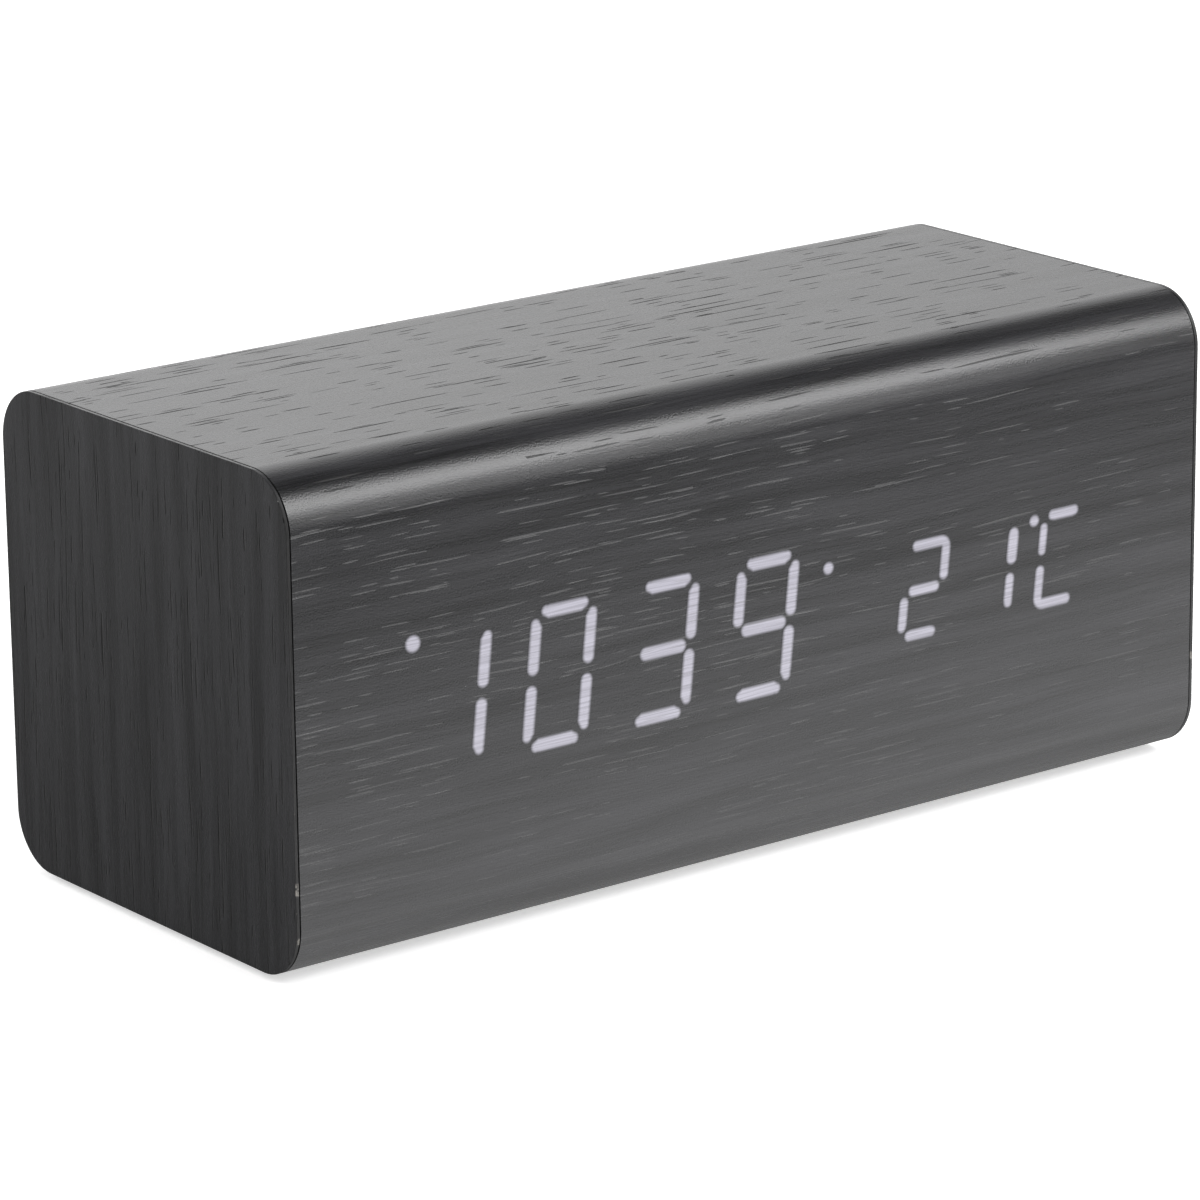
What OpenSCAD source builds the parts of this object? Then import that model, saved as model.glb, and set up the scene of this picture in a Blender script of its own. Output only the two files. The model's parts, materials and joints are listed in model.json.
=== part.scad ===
// Wooden block alarm clock whose digits shine through the veneer of its front.
// All sizes are in millimetres. X runs along the clock, the front faces -Y and Z is up.
// The origin lies on the table, under the middle of the casing.

/* [Casing] */
// Length of the casing along X
casing_w = 160; // [156:1:200]
// Depth of the casing from front to back
casing_d = 68; // [66:1:90]
// Height of the casing without its feet
casing_h = 69; // [68:1:90]
// Radius of the four long edges
corner_r = 8; // [4:0.5:9.5]
// Thickness of the wood veneer
veneer_t = 0.6; // [0.4:0.1:1]
// Thickness of the fibreboard wall under the veneer
wall_t = 6; // [5:0.5:8]
// Thickness of the fibreboard plugs that close the two ends
end_cap_t = 8; // [5:0.5:9]
// Glue gap round an end plug
glue_gap = 0.1; // [0.05:0.05:0.3]

/* [Feet] */
// Diameter of a foot pad
foot_d = 10; // [6:0.5:14]
// Thickness of a foot pad
foot_t = 1; // [0.6:0.1:3]
// Distance of a foot's centre from the end of the casing
foot_inset_x = 18; // [10:1:40]
// Distance of a foot's centre from the front or back of the casing
foot_inset_y = 15; // [15:0.5:24]

/* [Display] */
// Distance from the left end of the casing to the middle of the first time digit
time_inset = 26.1; // [25:0.1:30]
// Distance from the right end of the casing to the middle of the last temperature digit
temp_inset = 26.55; // [24:0.05:30]
// Height of a time digit between the centre lines of its strokes
digit_h = 18.3; // [16:0.1:20]
// Width of a time digit between the centre lines of its strokes
digit_w = 9.3; // [8:0.1:10]
// Width of the strokes of a time digit
digit_stroke = 1.75; // [1.4:0.05:1.9]
// Distance from one time digit to the next
digit_pitch = 17.6; // [16:0.1:18]
// Height of a temperature digit between the centre lines of its strokes
small_h = 12.8; // [11:0.1:14]
// Width of a temperature digit between the centre lines of its strokes
small_w = 7; // [6:0.1:7.5]
// Width of the strokes of a temperature digit
small_stroke = 1.5; // [1.3:0.05:1.7]
// Distance from one temperature digit to the next
small_pitch = 12.75; // [12:0.05:13]
// Distance of a stroke's end from the corner of its digit
tip_gap = 0.7; // [0.6:0.05:0.9]
// Lean of every digit to the right, in degrees
digit_lean = 6.3; // [0:0.1:9]
// Diameter of the alarm dot at the top left
alarm_dot_d = 2.4; // [1.6:0.1:2.8]
// Diameter of the dot between the time and the temperature
colon_dot_d = 1.75; // [1.6:0.05:2.5]
// Diameter of the degree dot
degree_dot_d = 1.7; // [1.6:0.05:1.8]
// Height and width left free round the digits in the window
window_margin = 3; // [2:0.1:3.5]
// Radius of the window's corners
window_r = 3; // [1:0.5:5]
// Thickness of the diffuser film behind the veneer
film_t = 0.2; // [0.1:0.05:0.5]
// Thickness of the display board
display_board_t = 1.6; // [1:0.1:2]
// How far the display board laps over the fibreboard round the window
board_lap = 5; // [4.5:0.1:5.5]

/* [Rear panel] */
// Width of the rear panel
panel_w = 124; // [123:1:136]
// Height of the rear panel
panel_h = 48; // [48:0.5:49]
// Thickness of the rear panel
panel_t = 2; // [1.8:0.1:2.4]
// Radius of the rear panel's corners
panel_r = 4; // [2:0.5:6]
// How far the panel lies below the back of the casing
panel_recess = 1.2; // [0.8:0.1:1.5]
// Gap between the panel and its rebate
panel_gap = 0.3; // [0.1:0.05:0.5]
// Width of the ledge under the panel at its two ends
ledge_w = 7; // [6.6:0.1:7.2]
// Height of the ledge under the panel's long edges
ledge_h = 3; // [2:0.1:3.2]

/* [Battery bay] */
// Diameter of a battery cell
cell_d = 10.5; // [10:0.1:10.6]
// Length of a battery cell with its nub
cell_len = 44.5; // [43:0.1:45]
// Free length of a contact spring
spring_len = 4; // [3.8:0.1:5]
// Diameter of the spring wire
spring_wire = 0.5; // [0.4:0.05:0.55]
// Thickness of the battery contact plates
contact_t = 0.4; // [0.3:0.05:0.6]
// Thickness of the walls of the bay
bay_wall = 1.5; // [1.2:0.1:1.8]
// Thickness of the battery door
door_t = 1.8; // [1.5:0.1:1.9]
// Gap round the battery door
door_gap = 0.25; // [0.2:0.05:0.35]

/* [Buttons] */
// Diameter of a button cap
button_d = 7; // [5:0.1:7.4]
// How far a button cap stands out of the panel
button_rise = 0.8; // [0.6:0.1:1]
// Travel of a button
button_travel = 0.5; // [0.3:0.05:0.6]
// Distance from one button to the next
button_pitch = 11; // [10.8:0.1:11.5]
// Gap between a button and its hole
button_gap = 0.2; // [0.15:0.05:0.3]

/* [Main board] */
// Width of the main board
board_w = 47; // [46:0.5:48]
// Height of the main board
board_h = 38; // [37:0.5:40]
// Thickness of the main board
board_t = 1.6; // [1:0.1:2]
// Length of the posts between the panel and the main board
post_len = 7; // [7:0.1:8]

/* [Hidden] */
$fn = 48;

// Room left so that a cut passes clean through a face
cut = 1;

// Casing levels
mid_z = foot_t + casing_h / 2;
front_y = -casing_d / 2;
back_y = casing_d / 2;
core_front_y = front_y + veneer_t;
inner_front_y = core_front_y + wall_t;
inner_back_y = back_y - veneer_t - wall_t;
sleeve_half = casing_w / 2 - veneer_t;
core_d = casing_d - 2 * veneer_t;
core_h = casing_h - 2 * veneer_t;
core_r = corner_r - veneer_t;
cavity_d = core_d - 2 * wall_t;
cavity_h = core_h - 2 * wall_t;
cavity_r = 3;

// Display layout, measured from the middle of the front
slope = tan(digit_lean);
time_digits = [for (i = [0 : 3]) time_inset - casing_w / 2 + i * digit_pitch];
temp_digits = [for (i = [2 : -1 : 0]) casing_w / 2 - temp_inset - i * small_pitch];
group_gap = temp_digits[0] - small_w / 2 - time_digits[3] - digit_w / 2;
alarm_dot_out = 1.85;
degree_dot_out = 1.35;
dot_room = 0.65;
colon_dot_out = max(group_gap * 0.3, (digit_stroke + colon_dot_d) / 2 + dot_room);
dot_drop = 0.25;
alarm_dot = [time_digits[0] - digit_w / 2 - alarm_dot_out, digit_h / 2 - dot_drop, alarm_dot_d];
colon_dot_z = small_h / 2 - dot_drop;
colon_dot = [time_digits[3] + digit_w / 2 + colon_dot_out + colon_dot_z * slope, colon_dot_z, colon_dot_d];
degree_dot = [temp_digits[2] - small_w / 2 - degree_dot_out, small_h / 2 - dot_drop, degree_dot_d];
dots = [alarm_dot, colon_dot, degree_dot];
window_left = alarm_dot[0] - alarm_dot_d / 2 - window_margin;
small_reach = small_w / 2 + small_h / 2 * slope + small_stroke / 2;
window_right = temp_digits[2] + small_reach + window_margin;
window_x = (window_left + window_right) / 2;
window_w = window_right - window_left;
window_h = digit_h + digit_stroke + 2 * window_margin;
housing_gap = 0.2;
guide_gap = 0.05;
film_back_y = core_front_y + film_t;
led_t = 0.7;
led_size = [1.4, 0.7];
led_room = 1;
guide_back_y = inner_front_y - led_room;
display_back_y = inner_front_y + display_board_t;

// Rear panel and rebate
panel_out_y = back_y - panel_recess;
panel_in_y = panel_out_y - panel_t;
pocket_w = panel_w + 2 * panel_gap;
pocket_h = panel_h + 2 * panel_gap;
pocket_r = panel_r + panel_gap;
through_w = pocket_w - 2 * ledge_w;
through_h = pocket_h - 2 * ledge_h;
through_r = 2;

// Screws: head diameter, head height, shank diameter, length under the head
panel_screw = [5, 1.2, 2.4, 6];
display_screw = [4.2, 1.4, 2, 6];
board_screw = [3.6, 1.3, 1.7, 6];
thread_gap = 0.05;
hole_gap = 0.2;
recess_t = 0.7;
panel_screw_edge = 3;
panel_screw_x = pocket_w / 2 - ledge_w / 2;
panel_screw_z = panel_h / 2 - panel_screw[0] / 2 - panel_screw_edge;
display_screw_x = window_w / 2 + board_lap / 2;
display_screw_z = window_h / 2 + board_lap / 2;

// Battery bay, measured from its own middle
cell_count = 3;
cell_gap = 0.3;
cell_pitch = cell_d + cell_gap;
cell_play = 0.15;
cell_room = 0.4;
nub_d = 3.8;
nub_len = 1.2;
saddle_gap = 0.2;
saddle_r = cell_d / 2 + saddle_gap;
saddle_t = 4;
saddle_x = cell_len / 4;
saddle_drop = 2;
door_in_y = panel_out_y - door_t;
rim_t = 2.1;
rim_seat = 0.1;
rim_out_y = door_in_y - rim_seat;
rim_in_y = rim_out_y - rim_t;
cell_y = min(door_in_y, panel_in_y) - cell_room - cell_d / 2;
bay_floor_y = cell_y - saddle_r;
bay_in_w = cell_len + spring_len + cell_play + 2 * contact_t;
bay_in_h = (cell_count - 1) * cell_pitch + 2 * saddle_r;
seat_w = 2.25;
rim_lap = 2;
opening_w = bay_in_w + 2 * seat_w;
opening_h = bay_in_h + 2 * seat_w;
rim_w = opening_w + 2 * rim_lap;
rim_h = opening_h + 2 * rim_lap;
rim_gap = 0.5;
bay_x = -through_w / 2 + rim_gap + rim_w / 2;
opening_r = 1;
contact_h = 9;
tail_w = 3;
tail_len = 2;
tail_gap = 0.2;

// Contact spring, from its wide end on the plate to its narrow end on the cell
spring_turns = 3.5;
spring_wide_r = 3.4;
spring_narrow_r = 2.2;
spring_seat = 0.1;
spring_sides = 6;
spring_rings = round(8 * spring_turns);

// Battery door, whose hinge line runs along the lower edge of its opening
hinge_y = panel_out_y;
hinge_z = mid_z - opening_h / 2;
door_w = opening_w - 2 * door_gap;
door_h = opening_h - 2 * door_gap;
tab_w = 6;
tab_x = door_w / 2 - 10;
tab_t = 1.1;
tab_gap = 0.3;
tab_drop = 2;
tab_rise = 2.5;
tab_out_y = min(panel_in_y, rim_out_y) - tab_gap;
catch_w = 10;
catch_t = 1.2;
catch_depth = 1.7;
catch_ridge = 0.8;
catch_gap = 0.3;
scoop_d = 12;
scoop_depth = 0.8;
grip_rise = 0.3;

// Main board and what stands on it
board_gap = 1.7;
board_x = bay_x + rim_w / 2 + board_gap;
board_out_y = panel_in_y - post_len;
board_in_y = board_out_y - board_t;
post_d = 5;
post_inset = 3;
post_pilot = 6;
post_x = [board_x + post_inset, board_x + board_w - post_inset];
post_z = [mid_z - board_h / 2 + post_inset, mid_z + board_h / 2 - post_inset];
row_rise = 9;
first_button = 9.5;
button_row_z = mid_z + row_rise;
button_x = [for (i = [0 : 2]) board_x + first_button + i * button_pitch];
button_lip = 1.2;
button_flange_d = button_d + 2 * button_lip;
button_flange_t = 1;
button_lift = 0.2;
button_edge = 0.4;
icon_t = 0.2;
stem_d = 4;
switch_w = 6;
switch_h = 3.5;
plunger_d = 3.5;
plunger_gap = 0.1;
plunger_rise = 0.8;
plunger_depth = 0.7;
plunger_room = 0.3;
switch_top_y = board_out_y + switch_h;
plunger_top_y = switch_top_y + plunger_rise;
low_row_z = mid_z - row_rise;
buzzer_in = 11.5;
buzzer_x = board_x + buzzer_in;
buzzer_d = 12;
buzzer_h = 6.3;
slot_count = 5;
slot_pitch = 2;
slot_w = 1;
slot_len = 8;
slot_end_r = 0.49;
mic_in = 24.5;
mic_x = board_x + mic_in;
mic_d = 6;
mic_h = 5;
mic_hole_d = 1.5;
socket_in = 36;
socket_x = board_x + socket_in;
socket_w = 7.5;
socket_t = 2.6;
socket_wall = 0.3;
socket_gap = 0.3;
socket_room = [11, 7];
socket_room_r = 1.5;
plug_recess = 0.8;
socket_top_y = panel_out_y - plug_recess;
vent_in = 5.5;
vent_x = board_x + board_w - vent_in;
vent_count = 3;
coin_d = 20;
coin_t = 3.2;
coin_in = 13;
coin_rise = 5;
coin_x = board_x + coin_in;
coin_z = mid_z + coin_rise;
coin_seat = 0.2;
clip_t = 0.4;
clip_w = 6;
clip_gap = 0.15;
chip_in = 32;
chip_rise = 8;
chip_x = board_x + chip_in;
chip_z = mid_z + chip_rise;
crystal_in = 41;
crystal_x = board_x + crystal_in;
crystal_d = 3;
crystal_len = 8;
capacitor_in = 39;
capacitor_x = board_x + capacitor_in;
capacitor_d = 6.3;
capacitor_len = 7.7;
regulator_in = 31;
regulator_drop = 13;
regulator_x = board_x + regulator_in;
regulator_z = mid_z - regulator_drop;

// Chips: width, height and thickness of the body, then of a leg, and the pitch of the legs
driver_body = [10, 4, 1.6];
driver_leg = [0.5, 1, 0.6];
driver_pitch = 1.27;
driver_legs = 8;
chip_body = [7, 7, 1.4];
chip_leg = [0.4, 1, 0.5];
chip_pitch = 0.8;
chip_legs = 8;
regulator_body = [6.5, 3.5, 1.6];
regulator_leg = [0.8, 1.8, 0.3];
regulator_pitch = 2.3;
leg_lap = 0.1;
bead_d = 2.4;
bead_rise = 4;
bead_leg_d = 0.5;
bead_leg_x = 0.6;
tongue = [4.4, 0.6];
tongue_base_t = 1.2;
tongue_room = 0.8;
tongue_rise = 0.2;
tongue_gap = 0.1;

// Ribbon cable and its connectors
ribbon_in = 20;
ribbon_x = board_x + ribbon_in;
ribbon_w = 12.7;
ribbon_t = 0.9;
ribbon_sag = 9;
ribbon_steps = 24;
connector_size = [15, 6, 6];
display_plug_drop = 4;
board_plug_drop = 10;
display_plug_z = mid_z - display_plug_drop;
board_plug_z = mid_z - board_plug_drop;
display_plug_y = display_back_y + connector_size[1];
board_plug_y = board_in_y - connector_size[1];

// Battery leads
lead_d = 1.2;
lead_y = bay_floor_y - bay_wall - lead_d;
lead_in = 2.5;
lead_plus_drop = 6;
lead_minus_drop = 11;
lead_board_x = board_x + lead_in;
lead_plus_z = mid_z - lead_plus_drop;
lead_minus_z = mid_z - lead_minus_drop;
wire_sides = 8;

// Colours
stain = [0.16, 0.16, 0.17];
fibreboard = [0.55, 0.43, 0.3];
black_plastic = [0.08, 0.08, 0.085];
grey_plastic = [0.3, 0.3, 0.31];
white_plastic = [0.9, 0.9, 0.88];
milky = [0.93, 0.93, 0.96];
lacquer_green = [0.07, 0.3, 0.16];
steel = [0.72, 0.72, 0.74];
brass_tone = [0.8, 0.68, 0.4];

// A rectangle with round corners, centred
module rounded_rect(w, h, r) {
    square([w - 2 * r, h], center = true);
    square([w, h - 2 * r], center = true);
    for (sx = [-1, 1], sy = [-1, 1]) translate([sx * (w / 2 - r), sy * (h / 2 - r)]) circle(r);
}

// Extrudes an outline drawn in Y and Z along X
module along_x(x0, x1) {
    translate([x0, 0, 0]) rotate([90, 0, 90]) linear_extrude(x1 - x0) children();
}

// Extrudes an outline drawn in X and Z along Y
module along_y(y0, y1) {
    translate([0, y1, 0]) rotate([90, 0, 0]) linear_extrude(y1 - y0) children();
}

// A round bar along Y at one place of the front or back
module rod_y(x, z, d, y0, y1) {
    translate([x, y0, z]) rotate([-90, 0, 0]) cylinder(d = d, h = y1 - y0);
}

// A box centred at one place of the front or back
module slab(x, z, w, h, y0, y1) {
    translate([x - w / 2, y0, z - h / 2]) cube([w, y1 - y0, h]);
}

// A rounded plate centred at one place of the front or back
module plate(x, z, w, h, r, y0, y1) {
    translate([x, 0, z]) along_y(y0, y1) rounded_rect(w, h, r);
}

function unit(v) = v / norm(v);

// A path with each of its corners turned into a short curve
function softened(path, reach) = [
    path[0],
    for (i = [1 : len(path) - 2], t = [0 : 0.25 : 1])
        let (
            a = path[i] + reach * unit(path[i - 1] - path[i]),
            b = path[i] + reach * unit(path[i + 1] - path[i])
        )
        a * (1 - t) * (1 - t) + 2 * path[i] * t * (1 - t) + b * t * t,
    path[len(path) - 1]
];

// Direction in which a path crosses one of its points
function crossing(path, i) = i == len(path) - 1 ? unit(path[i] - path[i - 1])
    : unit(unit(path[i] - path[i - 1]) + unit(path[i + 1] - path[i]));

// Slides a ring along the path from one point to the plane across the next
function next_ring(path, i, ring) = let (d = unit(path[i + 1] - path[i]), n = crossing(path, i + 1))
    [for (p = ring) p + d * ((path[i + 1] - p) * n) / (d * n)];

function rings_along(path, ring, i = 0) = i == len(path) - 1 ? [ring]
    : concat([ring], rings_along(path, next_ring(path, i, ring), i + 1));

// A closed tube over rings of points, in triangles
module tube(rings) {
    n = len(rings[0]);
    end = (len(rings) - 1) * n * [1, 1, 1];
    sides = [for (i = [0 : len(rings) - 2], k = [0 : n - 1])
        let (a = i * n + k, b = i * n + (k + 1) % n)
        each [[a, b, b + n], [a, b + n, a + n]]];
    first = [for (k = [1 : n - 2]) [0, k + 1, k]];
    last = [for (k = [1 : n - 2]) end + [0, k, k + 1]];
    polyhedron(points = [for (r = rings) each r], faces = concat(sides, first, last));
}

// An insulated wire that sets out along -Y
module wire(path, d) {
    start = [for (k = [0 : wire_sides - 1]) let (a = 360 * k / wire_sides)
        path[0] + d / 2 * [cos(a), 0, sin(a)]];
    tube(rings_along(softened(path, d), start));
}

// A cross-head screw along -Y, with the underside of its head at the origin
module screw(size) {
    difference() {
        union() {
            rod_y(0, 0, size[0], 0, size[1]);
            rod_y(0, 0, size[2], -size[3], 0);
        }
        for (a = [0, 90]) rotate([0, a, 0])
            slab(0, 0, size[0] * 0.6, recess_t, size[1] * 0.5, size[1] + cut);
    }
}

// One stroke of a digit, with round ends
module stroke(a, b, t) {
    span = b - a;
    translate(a) rotate(atan2(span[1], span[0])) {
        translate([0, -t / 2]) square([norm(span), t]);
        circle(d = t);
        translate([norm(span), 0]) circle(d = t);
    }
}

function leaned(p) = [p[0] + p[1] * slope, p[1]];

// Ends of the seven strokes of a digit, half its width and height from its middle
function stroke_ends(w, h, g) = [
    [[-w + g, h], [w - g, h]],
    [[w, g], [w, h - g]],
    [[w, g - h], [w, -g]],
    [[-w + g, -h], [w - g, -h]],
    [[-w, g - h], [-w, -g]],
    [[-w, g], [-w, h - g]],
    [[-w + g, 0], [w - g, 0]]
];

time_strokes = stroke_ends(digit_w / 2, digit_h / 2, digit_stroke / 2 + tip_gap);
temp_strokes = stroke_ends(small_w / 2, small_h / 2, small_stroke / 2 + tip_gap);

// The strokes of a row of digits, each wider by the given gap all round
module digit_row(centres, strokes, t, gap) {
    for (x = centres, s = strokes)
        translate([x, 0]) stroke(leaned(s[0]), leaned(s[1]), t + 2 * gap);
}

module dot_row(gap) {
    for (dot = dots) translate([dot[0], dot[1]]) circle(d = dot[2] + 2 * gap);
}

// Casing

module casing_outline() {
    translate([0, mid_z]) rounded_rect(casing_d, casing_h, corner_r);
}

module core_outline() {
    translate([0, mid_z]) rounded_rect(core_d, core_h, core_r);
}

module rear_pocket() {
    plate(0, mid_z, pocket_w, pocket_h, pocket_r, panel_in_y, back_y + cut);
}

module at_panel_screws() {
    for (sx = [-1, 1], sz = [-1, 1])
        translate([sx * panel_screw_x, 0, mid_z + sz * panel_screw_z]) children();
}

module at_display_screws() {
    for (sx = [-1, 1], sz = [-1, 1])
        translate([window_x + sx * display_screw_x, 0, mid_z + sz * display_screw_z]) children();
}

module casing_sleeve() {
    pilot_d = panel_screw[2] + 2 * thread_gap;
    display_pilot_d = display_screw[2] + 2 * thread_gap;
    display_pilot_y = display_back_y - display_screw[3] - hole_gap;
    color(fibreboard) difference() {
        along_x(-sleeve_half, sleeve_half) difference() {
            core_outline();
            translate([0, mid_z]) rounded_rect(cavity_d, cavity_h, cavity_r);
        }
        plate(window_x, mid_z, window_w, window_h, window_r, front_y, inner_front_y + cut);
        rear_pocket();
        plate(0, mid_z, through_w, through_h, through_r, inner_back_y - cut, back_y);
        at_panel_screws() rod_y(0, 0, pilot_d, inner_back_y - cut, back_y);
        at_display_screws() rod_y(0, 0, display_pilot_d, display_pilot_y, inner_front_y + cut);
    }
}

module end_cap(side) {
    x0 = side < 0 ? -sleeve_half : sleeve_half - end_cap_t;
    color(fibreboard) translate([0, 0, mid_z]) along_x(x0, x0 + end_cap_t)
        rounded_rect(cavity_d - 2 * glue_gap, cavity_h - 2 * glue_gap, cavity_r - glue_gap);
}

module end_cap_left() {
    end_cap(-1);
}

module end_cap_right() {
    end_cap(1);
}

module sleeve_veneer() {
    color(stain) difference() {
        along_x(-sleeve_half, sleeve_half) difference() {
            casing_outline();
            core_outline();
        }
        rear_pocket();
    }
}

module end_veneer_left() {
    color(stain) along_x(-casing_w / 2, -sleeve_half) casing_outline();
}

module end_veneer_right() {
    color(stain) along_x(sleeve_half, casing_w / 2) casing_outline();
}

module foot_pads() {
    color(grey_plastic) for (sx = [-1, 1], sy = [-1, 1])
        translate([sx * (casing_w / 2 - foot_inset_x), sy * (casing_d / 2 - foot_inset_y), 0])
            cylinder(d = foot_d, h = foot_t);
}

// Display

module diffuser_film() {
    color(milky) plate(window_x, mid_z, window_w - 2 * housing_gap, window_h - 2 * housing_gap,
        window_r - housing_gap, core_front_y, film_back_y);
}

module display_housing() {
    color(white_plastic) difference() {
        plate(window_x, mid_z, window_w - 2 * housing_gap, window_h - 2 * housing_gap,
            window_r - housing_gap, film_back_y, inner_front_y);
        translate([0, 0, mid_z]) along_y(film_back_y - cut, inner_front_y + cut) {
            digit_row(time_digits, time_strokes, digit_stroke, guide_gap);
            digit_row(temp_digits, temp_strokes, small_stroke, guide_gap);
            dot_row(guide_gap);
        }
    }
}

module light_guides() {
    color(milky) translate([0, 0, mid_z]) along_y(film_back_y, guide_back_y) children();
}

module time_segments() {
    light_guides() digit_row(time_digits, time_strokes, digit_stroke, 0);
}

module temperature_segments() {
    light_guides() digit_row(temp_digits, temp_strokes, small_stroke, 0);
}

module indicator_dots() {
    light_guides() dot_row(0);
}

module display_board() {
    hole_d = display_screw[2] + 2 * hole_gap;
    color(lacquer_green) difference() {
        slab(window_x, mid_z, window_w + 2 * board_lap, window_h + 2 * board_lap,
            inner_front_y, display_back_y);
        at_display_screws() rod_y(0, 0, hole_d, inner_front_y - cut, display_back_y + cut);
    }
}

// One diode in the middle of each stroke, turned along it
module stroke_leds(centres, strokes) {
    for (x = centres, s = strokes) {
        a = leaned(s[0]);
        b = leaned(s[1]);
        middle = (a + b) / 2;
        translate([x + middle[0], 0, mid_z + middle[1]])
            rotate([0, -atan2(b[1] - a[1], b[0] - a[0]), 0]) led();
    }
}

module led() {
    slab(0, 0, led_size[0], led_size[1], inner_front_y - led_t, inner_front_y);
}

module segment_leds() {
    color(white_plastic) {
        stroke_leds(time_digits, time_strokes);
        stroke_leds(temp_digits, temp_strokes);
        for (dot = dots) translate([dot[0], 0, mid_z + dot[1]]) led();
    }
}

module display_screws() {
    color(steel) at_display_screws() translate([0, display_back_y, 0]) screw(display_screw);
}

// A flat chip with legs along its two long sides, lying on a board that faces +Y
module driver_chip() {
    leg_z = driver_body[1] / 2 + driver_leg[1] / 2 - leg_lap;
    slab(0, 0, driver_body[0], driver_body[1], 0, driver_body[2]);
    for (i = [0 : driver_legs - 1], side = [-1, 1])
        slab((i - (driver_legs - 1) / 2) * driver_pitch, side * leg_z, driver_leg[0], driver_leg[1],
            0, driver_leg[2]);
}

module display_drivers() {
    color(black_plastic) for (x = [time_digits[1], time_digits[3]])
        translate([x, display_back_y, mid_z]) driver_chip();
}

module display_connector() {
    color(white_plastic) slab(ribbon_x, display_plug_z, connector_size[0], connector_size[2],
        display_back_y, display_plug_y);
}

// Height of the ribbon's middle at a share of its way, level at both ends
function ribbon_z(t) = let (ease = t * t * (3 - 2 * t))
    display_plug_z + (board_plug_z - display_plug_z) * ease - ribbon_sag * pow(sin(180 * t), 2);

function ribbon_side(offset) = [for (i = [0 : ribbon_steps]) let (t = i / ribbon_steps)
    [display_plug_y + (board_plug_y - display_plug_y) * t, ribbon_z(t) + offset]];

function reversed(points) = [for (i = [len(points) - 1 : -1 : 0]) points[i]];

module ribbon_cable() {
    color(grey_plastic) along_x(ribbon_x - ribbon_w / 2, ribbon_x + ribbon_w / 2)
        polygon(concat(ribbon_side(-ribbon_t / 2), reversed(ribbon_side(ribbon_t / 2))));
}

module board_connector() {
    color(white_plastic) slab(ribbon_x, board_plug_z, connector_size[0], connector_size[2],
        board_plug_y, board_in_y);
}

// Rear panel and battery bay

module at_posts() {
    for (x = post_x, z = post_z) translate([x, 0, z]) children();
}

function cell_z(i) = mid_z + (i - (cell_count - 1) / 2) * cell_pitch;

// The two outer contacts have a tail that passes through the end wall of the bay
tails = [[1, cell_z(0)], [-1, cell_z(cell_count - 1)]];

module tail(side, z, gap) {
    reach = bay_wall + tail_len;
    x = bay_x + side * (bay_in_w / 2 + reach / 2);
    slab(x, z, reach, tail_w + 2 * gap, cell_y - contact_t / 2 - gap, cell_y + contact_t / 2 + gap);
}

module bay_walls() {
    difference() {
        union() {
            slab(bay_x, mid_z, bay_in_w + 2 * bay_wall, bay_in_h + 2 * bay_wall,
                bay_floor_y - bay_wall, rim_in_y + rim_t / 2);
            slab(bay_x, mid_z, rim_w, rim_h, rim_in_y, panel_in_y);
        }
        slab(bay_x, mid_z, bay_in_w, bay_in_h, bay_floor_y, panel_out_y);
        plate(bay_x, mid_z, opening_w, opening_h, opening_r, rim_out_y, panel_out_y);
        for (t = tails) tail(t[0], t[1], tail_gap);
    }
    difference() {
        for (side = [-1, 1])
            slab(bay_x + side * saddle_x, mid_z, saddle_t, bay_in_h + bay_wall,
                bay_floor_y - bay_wall / 2, cell_y - saddle_drop);
        for (i = [0 : cell_count - 1]) translate([bay_x - bay_in_w / 2, cell_y, cell_z(i)])
            rotate([0, 90, 0]) cylinder(r = saddle_r, h = bay_in_w);
    }
}

// Room for the tabs at the lower edge of the door, as they swing round the hinge line
module tab_slots() {
    reach = norm([hinge_y - tab_out_y + tab_t, tab_drop]) + tab_gap;
    low_z = hinge_z - tab_drop - tab_gap;
    high_z = hinge_z + seat_w + cut;
    tab_room = tab_w + 2 * tab_gap;
    for (side = [-1, 1]) {
        x = bay_x + side * tab_x;
        slab(x, (low_z + high_z) / 2, tab_room, high_z - low_z, hinge_y - reach, panel_in_y);
        slab(x, (hinge_z + high_z) / 2, tab_room, high_z - hinge_z, hinge_y - reach, rim_out_y + cut);
    }
}

module catch_notch() {
    low_z = mid_z + door_h / 2 - catch_t - catch_ridge - 2 * catch_gap;
    high_z = mid_z + opening_h / 2;
    slab(bay_x, (low_z + high_z) / 2, catch_w + 2 * catch_gap, high_z - low_z,
        door_in_y - catch_depth - catch_gap, rim_out_y + cut);
}

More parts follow.
